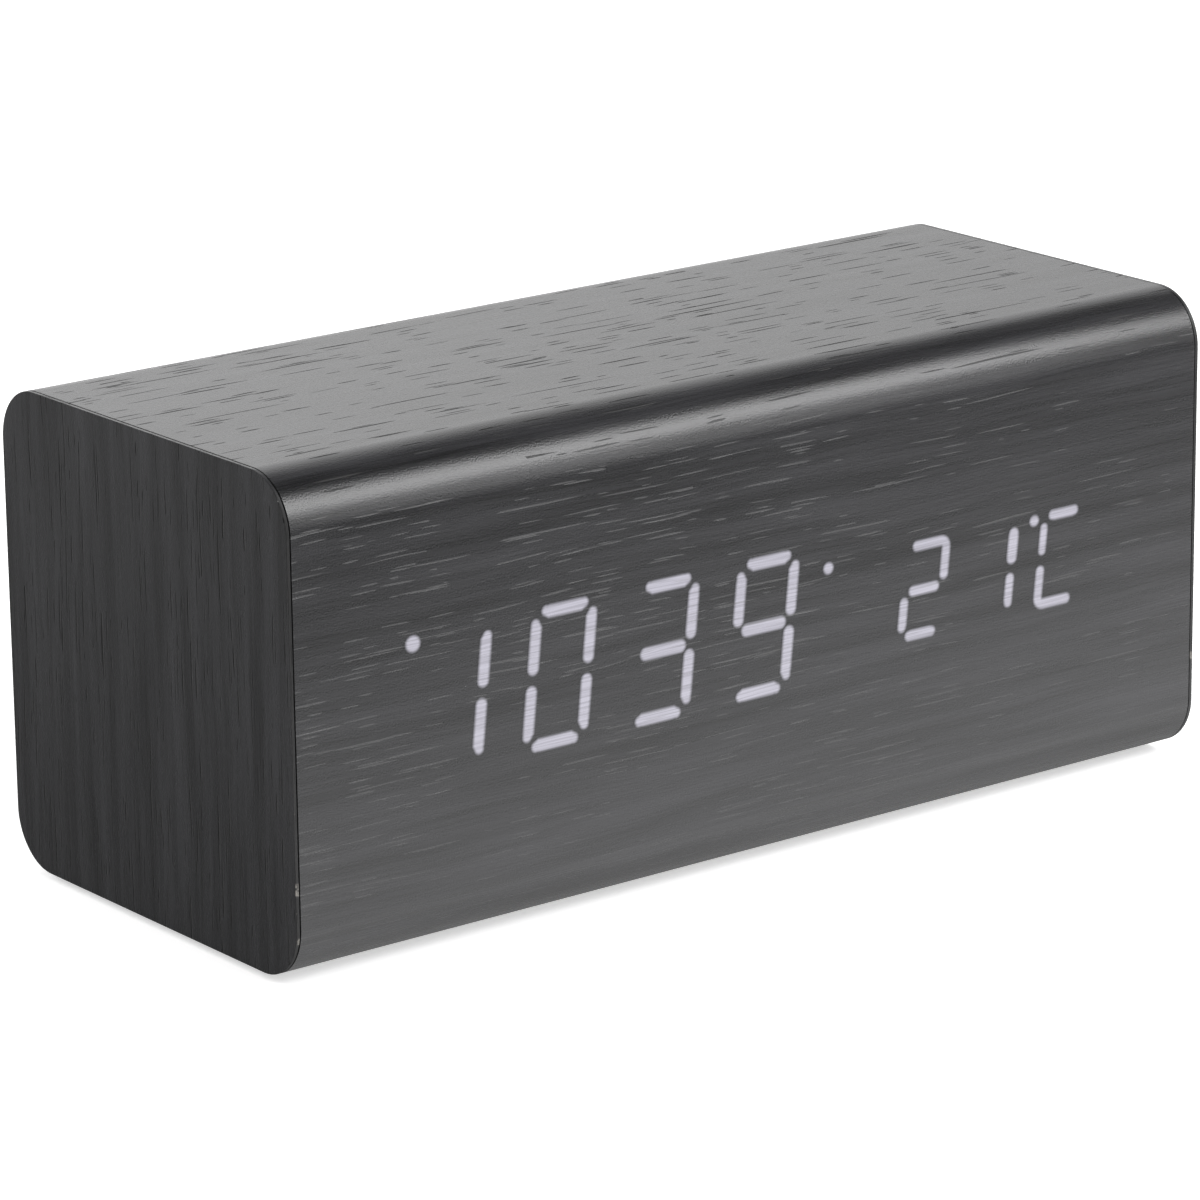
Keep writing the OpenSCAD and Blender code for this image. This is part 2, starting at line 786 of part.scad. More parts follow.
module panel_cuts() {
    screw_d = panel_screw[0] + 2 * hole_gap;
    shank_d = panel_screw[2] + 2 * hole_gap;
    out_y = panel_out_y + cut;
    in_y = panel_in_y - cut;
    plate(bay_x, mid_z, opening_w, opening_h, opening_r, in_y, out_y);
    rod_y(bay_x, mid_z + opening_h / 2, scoop_d, panel_out_y - scoop_depth, out_y);
    at_panel_screws() rod_y(0, 0, screw_d, panel_out_y - panel_screw[1], out_y);
    at_panel_screws() rod_y(0, 0, shank_d, in_y, out_y);
    for (x = button_x) rod_y(x, button_row_z, button_d + 2 * button_gap, in_y, out_y);
    for (i = [0 : slot_count - 1])
        plate(buzzer_x + (i - (slot_count - 1) / 2) * slot_pitch, low_row_z, slot_w, slot_len,
            slot_end_r, in_y, out_y);
    rod_y(mic_x, low_row_z, mic_hole_d, in_y, out_y);
    slab(socket_x, low_row_z, socket_w + 2 * socket_gap, socket_t + 2 * socket_gap, in_y, out_y);
    plate(socket_x, low_row_z, socket_room[0], socket_room[1], socket_room_r, socket_top_y, out_y);
    for (i = [0 : vent_count - 1])
        plate(vent_x, button_row_z + (i - (vent_count - 1) / 2) * slot_pitch, slot_len / 2, slot_w,
            slot_end_r, in_y, out_y);
}

module rear_panel() {
    pilot_d = board_screw[2] + 2 * thread_gap;
    color(black_plastic) {
        difference() {
            plate(0, mid_z, panel_w, panel_h, panel_r, panel_in_y, panel_out_y);
            panel_cuts();
        }
        difference() {
            at_posts() rod_y(0, 0, post_d, board_out_y, panel_in_y + panel_t / 2);
            at_posts() rod_y(0, 0, pilot_d, board_out_y - cut, board_out_y + post_pilot);
        }
    }
}

// A tray behind the panel, whose rim lies against it
module battery_bay() {
    color(black_plastic) difference() {
        bay_walls();
        tab_slots();
        catch_notch();
    }
}

module panel_screws() {
    color(steel) at_panel_screws()
        translate([0, panel_out_y - panel_screw[1], 0]) screw(panel_screw);
}

// Every second cell is turned round
function cell_side(i) = i % 2 == 0 ? 1 : -1;

module cell() {
    tip = bay_in_w / 2 - contact_t - cell_play;
    rotate([0, 90, 0]) {
        translate([0, 0, tip - cell_len]) cylinder(d = cell_d, h = cell_len - nub_len);
        translate([0, 0, tip - nub_len - nub_len / 2]) cylinder(d = nub_d, h = nub_len * 1.5);
    }
}

module at_cell(i) {
    translate([bay_x, cell_y, cell_z(i)]) mirror([cell_side(i) < 0 ? 1 : 0, 0, 0]) children();
}

module battery_cells() {
    color(grey_plastic) for (i = [0 : cell_count - 1]) at_cell(i) cell();
}

// A contact plate against one end wall, from one cell to another
module contact(side, first, last) {
    low = cell_z(first) - contact_h / 2;
    high = cell_z(last) + contact_h / 2;
    slab(bay_x + side * (bay_in_w - contact_t) / 2, (low + high) / 2, contact_t, high - low,
        cell_y - contact_h / 2, cell_y + contact_h / 2);
}

module battery_contacts() {
    last = cell_count - 1;
    color(steel) {
        contact(1, 0, 0);
        contact(1, 1, last);
        contact(-1, 0, 1);
        contact(-1, last, last);
        for (t = tails) tail(t[0], t[1], 0);
    }
}

// The spring's middle line winds round X as it narrows
function spring_middle(t) = let (r = spring_wide_r + (spring_narrow_r - spring_wide_r) * t)
    [spring_x0 + (spring_x1 - spring_x0) * t, r, 360 * spring_turns * t];

spring_x0 = -bay_in_w / 2 + contact_t + spring_seat + spring_wire / 2;
spring_x1 = spring_x0 + spring_len - 2 * spring_seat - spring_wire;

function spring_ring(t) = let (m = spring_middle(t)) [for (k = [0 : spring_sides - 1])
    let (a = 360 * k / spring_sides, r = m[1] + spring_wire / 2 * cos(a))
    [m[0] + spring_wire / 2 * sin(a), r * cos(m[2]), r * sin(m[2])]];

function spring_point(t) = let (m = spring_middle(t)) [m[0], m[1] * cos(m[2]), m[1] * sin(m[2])];

// Least clear distance between the spring's wire and the next curl
spring_gap = min([for (i = [0 : spring_rings], j = [i + 6 : 1 : spring_rings])
    norm(spring_point(i / spring_rings) - spring_point(j / spring_rings))]) - spring_wire;
echo(battery_spring_least_gap = spring_gap);

module contact_spring() {
    tube([for (i = [0 : spring_rings]) spring_ring(i / spring_rings)]);
}

module battery_springs() {
    color(steel) for (i = [0 : cell_count - 1]) at_cell(i) contact_spring();
}

// Each lead leaves its tail, passes behind the bay and ends on the main board
module battery_leads() {
    tail_mid = bay_in_w / 2 + bay_wall + tail_len / 2;
    start_y = cell_y - contact_t / 2;
    turn_y = board_in_y - 2 * lead_d;
    plus_x = bay_x + tail_mid;
    minus_x = bay_x - tail_mid;
    color("darkred") {
        wire([
            [plus_x, start_y, tails[0][1]],
            [plus_x, turn_y, tails[0][1]],
            [lead_board_x, turn_y, lead_plus_z],
            [lead_board_x, board_in_y, lead_plus_z]
        ], lead_d);
        wire([
            [minus_x, start_y, tails[1][1]],
            [minus_x, lead_y, tails[1][1]],
            [plus_x, lead_y, lead_minus_z],
            [lead_board_x, lead_y, lead_minus_z],
            [lead_board_x, board_in_y, lead_minus_z]
        ], lead_d);
    }
}

module battery_door() {
    low_z = mid_z - door_h / 2;
    high_z = mid_z + door_h / 2;
    tab_in_y = tab_out_y - tab_t;
    catch_z = high_z - catch_ridge - catch_t / 2;
    ridge_t = catch_depth / 2;
    grip_count = 3;
    grip_pitch = 1.6;
    color(black_plastic) {
        plate(bay_x, mid_z, door_w, door_h, opening_r - door_gap, door_in_y, panel_out_y);
        for (side = [-1, 1]) {
            x = bay_x + side * tab_x;
            slab(x, (hinge_z - tab_drop + low_z + tab_rise) / 2, tab_w,
                low_z + tab_rise - hinge_z + tab_drop, tab_in_y, tab_out_y);
            slab(x, low_z + tab_rise / 2, tab_w, tab_rise, tab_in_y, door_in_y + door_t / 2);
        }
        slab(bay_x, catch_z, catch_w, catch_t, door_in_y - catch_depth, door_in_y + door_t / 2);
        slab(bay_x, catch_z + catch_ridge / 2, catch_w, catch_t + catch_ridge,
            door_in_y - catch_depth, door_in_y - catch_depth + ridge_t);
        for (i = [0 : grip_count - 1])
            slab(bay_x, high_z - 3 - i * grip_pitch, catch_w, grip_pitch / 2,
                panel_out_y - door_t / 2, panel_out_y + grip_rise);
    }
}

// Buttons

// A cap with a flange behind the panel and a stem down to its switch
module button(i) {
    flange_top = panel_in_y - button_lift;
    flange_low = flange_top - button_flange_t;
    top = panel_out_y + button_rise - icon_t;
    translate([button_x[i], 0, button_row_z]) {
        rod_y(0, 0, stem_d, plunger_top_y, flange_low + button_flange_t / 2);
        rod_y(0, 0, button_flange_d, flange_low, flange_top);
        rod_y(0, 0, button_d, flange_low, top - button_edge);
        translate([0, top - button_edge, 0]) rotate([-90, 0, 0])
            cylinder(d1 = button_d, d2 = button_d - 2 * button_edge, h = button_edge);
        along_y(top - icon_t, top + icon_t) children();
    }
}

// A triangle with its point up or down
module arrow(turn) {
    side = button_d * 0.45;
    rotate(turn) polygon([[-side / 2, -side * 0.4], [side / 2, -side * 0.4], [0, side * 0.45]]);
}

module set_button() {
    color(grey_plastic) button(0) square([button_d * 0.45, button_d * 0.12], center = true);
}

module up_button() {
    color(grey_plastic) button(1) arrow(0);
}

module down_button() {
    color(grey_plastic) button(2) arrow(180);
}

module plunger(i) {
    color(black_plastic) rod_y(button_x[i], button_row_z, plunger_d,
        switch_top_y - plunger_depth, plunger_top_y);
}

module set_switch_plunger() {
    plunger(0);
}

module up_switch_plunger() {
    plunger(1);
}

module down_switch_plunger() {
    plunger(2);
}

module switch_bodies() {
    bore_y = switch_top_y - plunger_depth - button_travel - plunger_room;
    color(steel) for (x = button_x) difference() {
        slab(x, button_row_z, switch_w, switch_w, board_out_y, switch_top_y);
        rod_y(x, button_row_z, plunger_d + 2 * plunger_gap, bore_y, switch_top_y + cut);
    }
}

// Main board

module main_board() {
    hole_d = board_screw[2] + 2 * hole_gap;
    color(lacquer_green) difference() {
        slab(board_x + board_w / 2, mid_z, board_w, board_h, board_in_y, board_out_y);
        at_posts() rod_y(0, 0, hole_d, board_in_y - cut, board_out_y + cut);
    }
}

module board_screws() {
    color(steel) at_posts() translate([0, board_in_y, 0]) rotate([0, 0, 180]) screw(board_screw);
}

// Outline of the power socket: a flat box with its lower corners cut off
module socket_outline(inset) {
    w = socket_w / 2 - inset;
    h = socket_t / 2 - inset;
    bevel = socket_t * 0.4;
    polygon([[-w, h], [w, h], [w, bevel - h], [w - bevel, -h], [bevel - w, -h], [-w, bevel - h]]);
}

module power_socket() {
    color(steel) translate([socket_x, 0, low_row_z]) along_y(board_out_y, socket_top_y)
        difference() {
            socket_outline(0);
            socket_outline(socket_wall);
        }
}

module socket_tongue() {
    color(black_plastic) translate([socket_x, 0, low_row_z]) {
        along_y(board_out_y, board_out_y + tongue_base_t) socket_outline(socket_wall + tongue_gap);
        slab(0, tongue_rise, tongue[0], tongue[1], board_out_y, socket_top_y - tongue_room);
    }
}

module microphone() {
    color(steel) difference() {
        rod_y(mic_x, low_row_z, mic_d, board_out_y, board_out_y + mic_h);
        rod_y(mic_x, low_row_z, mic_d / 2, board_out_y + mic_h - 0.3, board_out_y + mic_h + cut);
    }
}

module buzzer() {
    color(black_plastic) difference() {
        rod_y(buzzer_x, low_row_z, buzzer_d, board_out_y, board_out_y + buzzer_h);
        rod_y(buzzer_x, low_row_z, 2, board_out_y + buzzer_h - 2, board_out_y + buzzer_h + cut);
    }
}

module thermistor() {
    bead_y = board_out_y + bead_rise;
    color(black_plastic) {
        translate([vent_x, bead_y, button_row_z]) sphere(d = bead_d);
        for (side = [-1, 1])
            rod_y(vent_x + side * bead_leg_x, button_row_z, bead_leg_d, board_out_y, bead_y);
    }
}

// A square chip with legs on four sides, lying on the inner face of the main board
module microcontroller() {
    leg_z = chip_body[1] / 2 + chip_leg[1] / 2 - leg_lap;
    color(black_plastic) translate([chip_x, 0, chip_z]) {
        slab(0, 0, chip_body[0], chip_body[1], board_in_y - chip_body[2], board_in_y);
        for (turn = [0 : 90 : 270], i = [0 : chip_legs - 1]) rotate([0, turn, 0])
            slab((i - (chip_legs - 1) / 2) * chip_pitch, leg_z, chip_leg[0], chip_leg[1],
                board_in_y - chip_leg[2], board_in_y);
    }
}

module clock_crystal() {
    seat = 0.05;
    color(steel) translate([crystal_x, board_in_y - crystal_d / 2 - seat, chip_z - crystal_len / 2])
        cylinder(d = crystal_d, h = crystal_len);
}

module coin_cell() {
    color(steel) rod_y(coin_x, coin_z, coin_d, board_in_y - coin_seat - coin_t, board_in_y - coin_seat);
}

// A strap over the coin cell with a leg down to the board on both sides
module coin_cell_clip() {
    strap_y = board_in_y - coin_seat - coin_t - clip_gap;
    half = coin_d / 2 + clip_gap + clip_t;
    color(brass_tone) {
        slab(coin_x, coin_z, 2 * half, clip_w, strap_y - clip_t, strap_y);
        for (side = [-1, 1])
            slab(coin_x + side * (half - clip_t / 2), coin_z, clip_t, clip_w, strap_y - clip_t, board_in_y);
    }
}

module capacitor() {
    color(steel) rod_y(capacitor_x, low_row_z, capacitor_d, board_in_y - capacitor_len, board_in_y);
}

// Three legs below and a wide tab above
module voltage_regulator() {
    leg_z = regulator_body[1] / 2 + regulator_leg[1] / 2 - leg_lap;
    leg_y = board_in_y - regulator_leg[2];
    tab_w = regulator_pitch + regulator_leg[0];
    color(black_plastic) translate([regulator_x, 0, regulator_z]) {
        slab(0, 0, regulator_body[0], regulator_body[1], board_in_y - regulator_body[2], board_in_y);
        for (i = [-1 : 1])
            slab(i * regulator_pitch, -leg_z, regulator_leg[0], regulator_leg[1], leg_y, board_in_y);
        slab(0, leg_z, tab_w, regulator_leg[1], leg_y, board_in_y);
    }
}

casing_sleeve();
end_cap_left();
end_cap_right();
sleeve_veneer();
end_veneer_left();
end_veneer_right();
foot_pads();
diffuser_film();
display_housing();
time_segments();
temperature_segments();
indicator_dots();
display_board();
segment_leds();
display_screws();
display_drivers();
display_connector();
ribbon_cable();
rear_panel();
panel_screws();
battery_bay();
battery_cells();
battery_contacts();
battery_springs();
battery_leads();
battery_door();
set_button();
up_button();
down_button();
set_switch_plunger();
up_switch_plunger();
down_switch_plunger();
switch_bodies();
main_board();
board_screws();
board_connector();
power_socket();
socket_tongue();
microphone();
buzzer();
thermistor();
microcontroller();
clock_crystal();
coin_cell();
coin_cell_clip();
capacitor();
voltage_regulator();
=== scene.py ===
"""Looks of a veneered block clock: grain under a black stain, digits that shine through it and a moulded
back.
"""

import json
import math

import bmesh
import bpy
from mathutils import Matrix, Vector


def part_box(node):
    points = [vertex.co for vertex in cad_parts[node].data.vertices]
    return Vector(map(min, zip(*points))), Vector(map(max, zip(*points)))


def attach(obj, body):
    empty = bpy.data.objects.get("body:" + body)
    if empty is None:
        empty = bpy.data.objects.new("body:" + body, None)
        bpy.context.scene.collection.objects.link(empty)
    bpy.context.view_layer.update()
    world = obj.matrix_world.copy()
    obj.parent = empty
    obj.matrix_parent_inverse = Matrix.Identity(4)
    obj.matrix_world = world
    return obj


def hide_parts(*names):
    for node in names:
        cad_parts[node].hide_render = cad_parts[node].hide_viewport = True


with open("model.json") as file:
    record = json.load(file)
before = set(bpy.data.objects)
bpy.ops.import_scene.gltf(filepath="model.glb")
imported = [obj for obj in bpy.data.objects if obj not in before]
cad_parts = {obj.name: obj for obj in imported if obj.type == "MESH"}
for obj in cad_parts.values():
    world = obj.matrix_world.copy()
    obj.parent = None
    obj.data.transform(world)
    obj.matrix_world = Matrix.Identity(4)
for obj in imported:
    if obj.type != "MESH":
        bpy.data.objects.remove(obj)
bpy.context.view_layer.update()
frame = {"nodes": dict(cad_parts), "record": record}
nodes = frame["nodes"]

# Sizes in millimetres, as in the part's source
MM = 0.001
HALF_W = 80.0
HALF_D = 34.0
LOW_Z = 1.0
HIGH_Z = 70.0
MID_Z = 35.5
CORNER = 8.0
CORNER_STEPS = 28
VENEER = 0.6
SLEEVE_HALF = HALF_W - VENEER
POCKET_W, POCKET_H, POCKET_R = 124.6, 48.6, 4.3
SKIN = 0.02
SEAM_DEPTH = 0.3
WRAP_LIP = 0.1
END_LIP = 0.08
BAY_X = -25.825
CELL_Y = 25.15
CELL_Z = (24.7, 35.5, 46.3)


# Wiring of shader and geometry trees


class Wiring:
    """Places nodes in one tree and joins them."""

    def __init__(self, tree):
        self.tree = tree

    def node(self, kind, feeds=None, **settings):
        made = self.tree.nodes.new(kind)
        for key, value in settings.items():
            setattr(made, key, value)
        for socket, value in (feeds or {}).items():
            self.feed(made.inputs[socket], value)
        return made

    def feed(self, socket, value):
        if isinstance(value, bpy.types.NodeSocket):
            self.tree.links.new(value, socket)
        else:
            socket.default_value = value

    def math(self, how, a, b=0.5, c=0.5, clamp=False):
        made = self.node("ShaderNodeMath", {0: a, 1: b, 2: c}, operation=how, use_clamp=clamp)
        return made.outputs[0]

    def plus(self, a, b):
        return self.math("ADD", a, b)

    def minus(self, a, b, clamp=False):
        return self.math("SUBTRACT", a, b, clamp=clamp)

    def times(self, a, b, clamp=False):
        return self.math("MULTIPLY", a, b, clamp=clamp)

    def over(self, a, b, clamp=False):
        return self.math("DIVIDE", a, b, clamp=clamp)

    def most(self, a, b):
        return self.math("MAXIMUM", a, b)

    def span(self, value, low, high, to_low=0.0, to_high=1.0, smooth=False):
        """A value carried from one range to another, and held at its ends."""
        feeds = {"Value": value, "From Min": low, "From Max": high, "To Min": to_low, "To Max": to_high}
        kind = "SMOOTHSTEP" if smooth else "LINEAR"
        return self.node("ShaderNodeMapRange", feeds, interpolation_type=kind).outputs["Result"]

    def between(self, share, low, high):
        return self.span(share, 0.0, 1.0, low, high)

    def blend(self, share, a, b):
        made = self.node("ShaderNodeMix", {0: share, 6: a, 7: b}, data_type="RGBA")
        return made.outputs[2]

    def vector(self, x, y, z=0.0):
        return self.node("ShaderNodeCombineXYZ", {0: x, 1: y, 2: z}).outputs[0]

    def parts(self, vector):
        return self.node("ShaderNodeSeparateXYZ", {0: vector}).outputs

    def vectors(self, how, a, b=(0.0, 0.0, 0.0)):
        return self.node("ShaderNodeVectorMath", {0: a, 1: b}, operation=how).outputs[0]

    def scaled(self, vector, share):
        return self.node("ShaderNodeVectorMath", {0: vector, "Scale": share}, operation="SCALE").outputs[0]

    def noise(self, place, scale, detail=2.0, rough=0.5, flat=False):
        feeds = {"Vector": place, "Scale": scale, "Detail": detail, "Roughness": rough}
        return self.node("ShaderNodeTexNoise", feeds, noise_dimensions="2D" if flat else "3D").outputs[0]

    def cells(self, place, scale=1.0, flat=False):
        feeds = {"Vector": place, "Scale": scale}
        return self.node("ShaderNodeTexVoronoi", feeds, voronoi_dimensions="2D" if flat else "3D").outputs

    def channels(self, colour):
        return self.node("ShaderNodeSeparateColor", {0: colour}).outputs


def shader_group(name, sizes, outputs):
    """An empty shader group for a place in millimetres and named sizes, and the ends to wire between."""
    tree = bpy.data.node_groups.new(name, "ShaderNodeTree")
    add = tree.interface.new_socket
    add(name="Place", in_out="INPUT", socket_type="NodeSocketVector")
    for label, value in sizes.items():
        add(name=label, in_out="INPUT", socket_type="NodeSocketFloat").default_value = value
    for label in outputs:
        add(name=label, in_out="OUTPUT", socket_type="NodeSocketFloat")
    w = Wiring(tree)
    return w, w.node("NodeGroupInput").outputs, w.node("NodeGroupOutput").inputs


# For each layer of pores: stretch along the fibres, distance across them, thinness and seed
PORE_LAYERS = ((1.0, 1.0, 1.0, 3.7), (0.55, 0.75, 0.8, 41.3), (1.7, 1.6, 1.0, 87.1))
PORE_TAPER = 3.0
# For each streak of the grain: cycles per millimetre along and across, detail, roughness and seed
FIBRE_STREAK = (0.05, 3.4, 3.0, 0.6)
BAND_STREAK = (0.018, 0.34, 2.0, 0.5, 29.3)
CLUSTER_STREAK = (0.03, 0.16, 2.0)


def grain_group():
    """Veneer grain on a flat place: X runs along the fibres."""
    w, given, out = shader_group(
        "veneer grain",
        {"Pore Length": 12.5, "Pore Spacing": 1.35, "Pore Width": 0.14, "Pore Share": 0.62, "Wave": 0.45,
         "Even": 0.0},
        ("Fibre", "Band", "Pore", "Tilt", "Peel"))
    along, across, _ = w.parts(given["Place"])
    drift = w.noise(w.vector(w.times(along, 0.022), w.times(across, 0.09)), 1.0, 2.0, flat=True)
    bent = w.plus(across, w.times(w.minus(drift, 0.5), w.times(given["Wave"], 4.0)))

    def streak(u, v, detail, rough=0.5, seed=0.0):
        place = w.vector(w.times(along, u), w.math("MULTIPLY_ADD", bent, v, seed))
        return w.noise(place, 1.0, detail, rough, flat=True)

    cluster = w.most(w.span(streak(*CLUSTER_STREAK), 0.32, 0.56), given["Even"])
    pores, tilt = 0.0, 0.0
    for stretch, apart, thin, seed in PORE_LAYERS:
        spacing = w.times(given["Pore Spacing"], apart)
        u = w.plus(w.over(along, w.times(given["Pore Length"], stretch)), seed)
        v = w.plus(w.over(bent, spacing), seed * 1.9)
        here = w.vector(u, v)
        cell = w.cells(here, flat=True)
        du, dv, _ = w.parts(w.vectors("SUBTRACT", here, cell["Position"]))
        chance, size, length = w.channels(cell["Color"])
        reach = w.math("MULTIPLY_ADD", length, 0.34, 0.12)
        gone = w.over(w.math("ABSOLUTE", du), reach, clamp=True)
        taper = w.minus(1.0, w.math("POWER", gone, PORE_TAPER))
        wide = w.times(given["Pore Width"], w.math("MULTIPLY_ADD", size, 0.7 * thin, 0.6 * thin))
        wide = w.times(w.over(wide, spacing), taper)
        slant = w.over(dv, w.most(wide, 0.001))
        kept = w.math("LESS_THAN", chance, w.times(given["Pore Share"], cluster))
        inside = w.times(w.math("LESS_THAN", w.math("ABSOLUTE", slant), 1.0), kept)
        pores = w.most(pores, inside)
        tilt = w.minus(tilt, w.times(slant, inside))
    w.feed(out["Fibre"], streak(*FIBRE_STREAK))
    w.feed(out["Band"], streak(*BAND_STREAK))
    w.feed(out["Pore"], pores)
    w.feed(out["Tilt"], tilt)
    w.feed(out["Peel"], w.noise(given["Place"], 3.8, 2.0, flat=True))
    return w.tree


def wear_group():
    """Where a finish is rubbed off: patches along marked edges."""
    w, given, out = shader_group("edge wear", {"Edge": 0.0, "Patch": 0.3, "Share": 0.3}, ("Wear",))
    patches = w.noise(given["Place"], given["Patch"], 3.0, 0.65)
    level = w.minus(0.86, w.times(given["Share"], 0.6))
    bare = w.span(patches, level, w.plus(level, 0.06), smooth=True)
    w.feed(out["Wear"], w.times(bare, given["Edge"]))
    return w.tree


def speck_group():
    """A few specks of dust, each a small round dot."""
    w, given, out = shader_group("dust specks", {"Apart": 9.0, "Size": 0.12, "Share": 0.3}, ("Dust",))
    apart = given["Apart"]
    cell = w.cells(w.vectors("DIVIDE", given["Place"], w.vector(apart, apart, apart)))
    away = w.times(cell["Distance"], apart)
    chance, size, _ = w.channels(cell["Color"])
    reach = w.times(given["Size"], w.math("MULTIPLY_ADD", size, 0.9, 0.4))
    dot = w.minus(1.0, w.over(away, reach), clamp=True)
    w.feed(out["Dust"], w.times(dot, w.math("LESS_THAN", chance, given["Share"])))
    return w.tree


def mould_group():
    """The fine texture that a spark-eroded mould leaves on plastic."""
    w, given, out = shader_group("moulded texture", {"Size": 0.35}, ("Height", "Tone"))
    fine = w.noise(given["Place"], w.over(1.0, given["Size"]), 3.0, 0.6)
    w.feed(out["Height"], w.span(fine, 0.3, 0.7, smooth=True))
    w.feed(out["Tone"], w.noise(given["Place"], 0.09, 3.0))
    return w.tree


def rolled_group():
    """Fine parallel lines along X, as rolling or turning leaves them on metal."""
    w, given, out = shader_group("rolled lines", {"Fineness": 14.0}, ("Line", "Stain"))
    x, y, z = w.parts(given["Place"])
    w.feed(out["Line"], w.noise(w.vector(w.times(x, 0.12), y, z), given["Fineness"], 2.0))
    w.feed(out["Stain"], w.noise(given["Place"], 0.35, 3.0))
    return w.tree


GRAIN = grain_group()
WEAR = wear_group()
SPECKS = speck_group()
MOULD = mould_group()
ROLLED = rolled_group()


def socket_label(word):
    return word.replace("_", " ").title()


class Finish(Wiring):
    """A material with one Principled shader, wired to patterns in millimetres."""

    def __init__(self, name, colour, roughness, **constant):
        self.material = bpy.data.materials.new(name)
        self.material.use_nodes = True
        super().__init__(self.material.node_tree)
        self.tree.nodes.clear()
        self.shader = self.node("ShaderNodeBsdfPrincipled")
        self.paint(base_color=(*colour, 1.0), roughness=roughness, **constant)
        self.node("ShaderNodeOutputMaterial", {"Surface": self.shader.outputs[0]})
        spot = self.node("ShaderNodeTexCoord")
        self.place = self.scaled(spot.outputs["Object"], 1 / MM)

    def group(self, tree, place=None, **sizes):
        """A group's outputs, at a place of its own or at the surface's."""
        made = self.node("ShaderNodeGroup", node_tree=tree)
        self.feed(made.inputs["Place"], self.place if place is None else place)
        for label, value in sizes.items():
            self.feed(made.inputs[socket_label(label)], value)
        return made.outputs

    def attribute(self, name):
        return self.node("ShaderNodeAttribute", attribute_name=name).outputs["Fac"]

    def paint(self, **feeds):
        for label, value in feeds.items():
            self.feed(self.shader.inputs[socket_label(label)], value)

    def mottled(self, pattern, low, high):
        """A colour that wanders between two with a noise pattern."""
        return self.blend(self.span(pattern, 0.3, 0.7), low, high)

    def moulded(self, size, low, high):
        """The height of a moulded texture, and a colour that wanders with its tone."""
        m = self.group(MOULD, size=size)
        return m["Height"], self.mottled(m["Tone"], low, high)

    def bump(self, height, depth, normal=None):
        made = self.node("ShaderNodeBump", {"Height": height, "Distance": depth * MM, "Strength": 1.0})
        if normal is not None:
            self.feed(made.inputs["Normal"], normal)
        self.paint(normal=made.outputs[0])


def grey(value, blue=1.0):
    return (value, value, value * blue, 1.0)


def toned(colour, gain, lift=0.0):
    """A colour made darker or lighter, with its alpha."""
    return tuple(min(1.0, c * gain + lift) for c in colour) + (1.0,)


STAIN_DARK, STAIN_LIGHT = grey(0.009, 1.08), grey(0.033, 1.08)
# Pores painted lighter on the front, a painted highlight for the light their walls catch; pores of the top
# and the ends painted shade on one side and highlight on the other, by their tilt.
FRONT_PIT_LIT = grey(0.046, 1.03)
TOP_PIT_SHADED, TOP_PIT_LIT = grey(0.003), grey(0.06)
CUT_EDGE = grey(0.005)
BARE_WOOD = (0.34, 0.32, 0.29, 1.0)
WOOD_DUST, PLASTIC_DUST = grey(0.45), grey(0.4)
DIODE_LIGHT = (0.53, 0.515, 0.595, 1.0)
TOP_FROM_Z, TOP_TO_Z = 64.0, 69.0
FRONT_STEEP, TOP_STEEP, END_STEEP = 0.52, 0.45, 0.5
FRONT_PORE_W, TOP_PORE_W, END_PORE_W = 0.095, 0.15, 0.14
FIBRE_SHARE, BAND_SHARE, PEEL_SHARE = 0.33, 0.47, 0.2
LACQUER_ROUGH = 0.26
CHIPS_BELOW_Z, CHIPS_END_Z = 20.0, 34.0


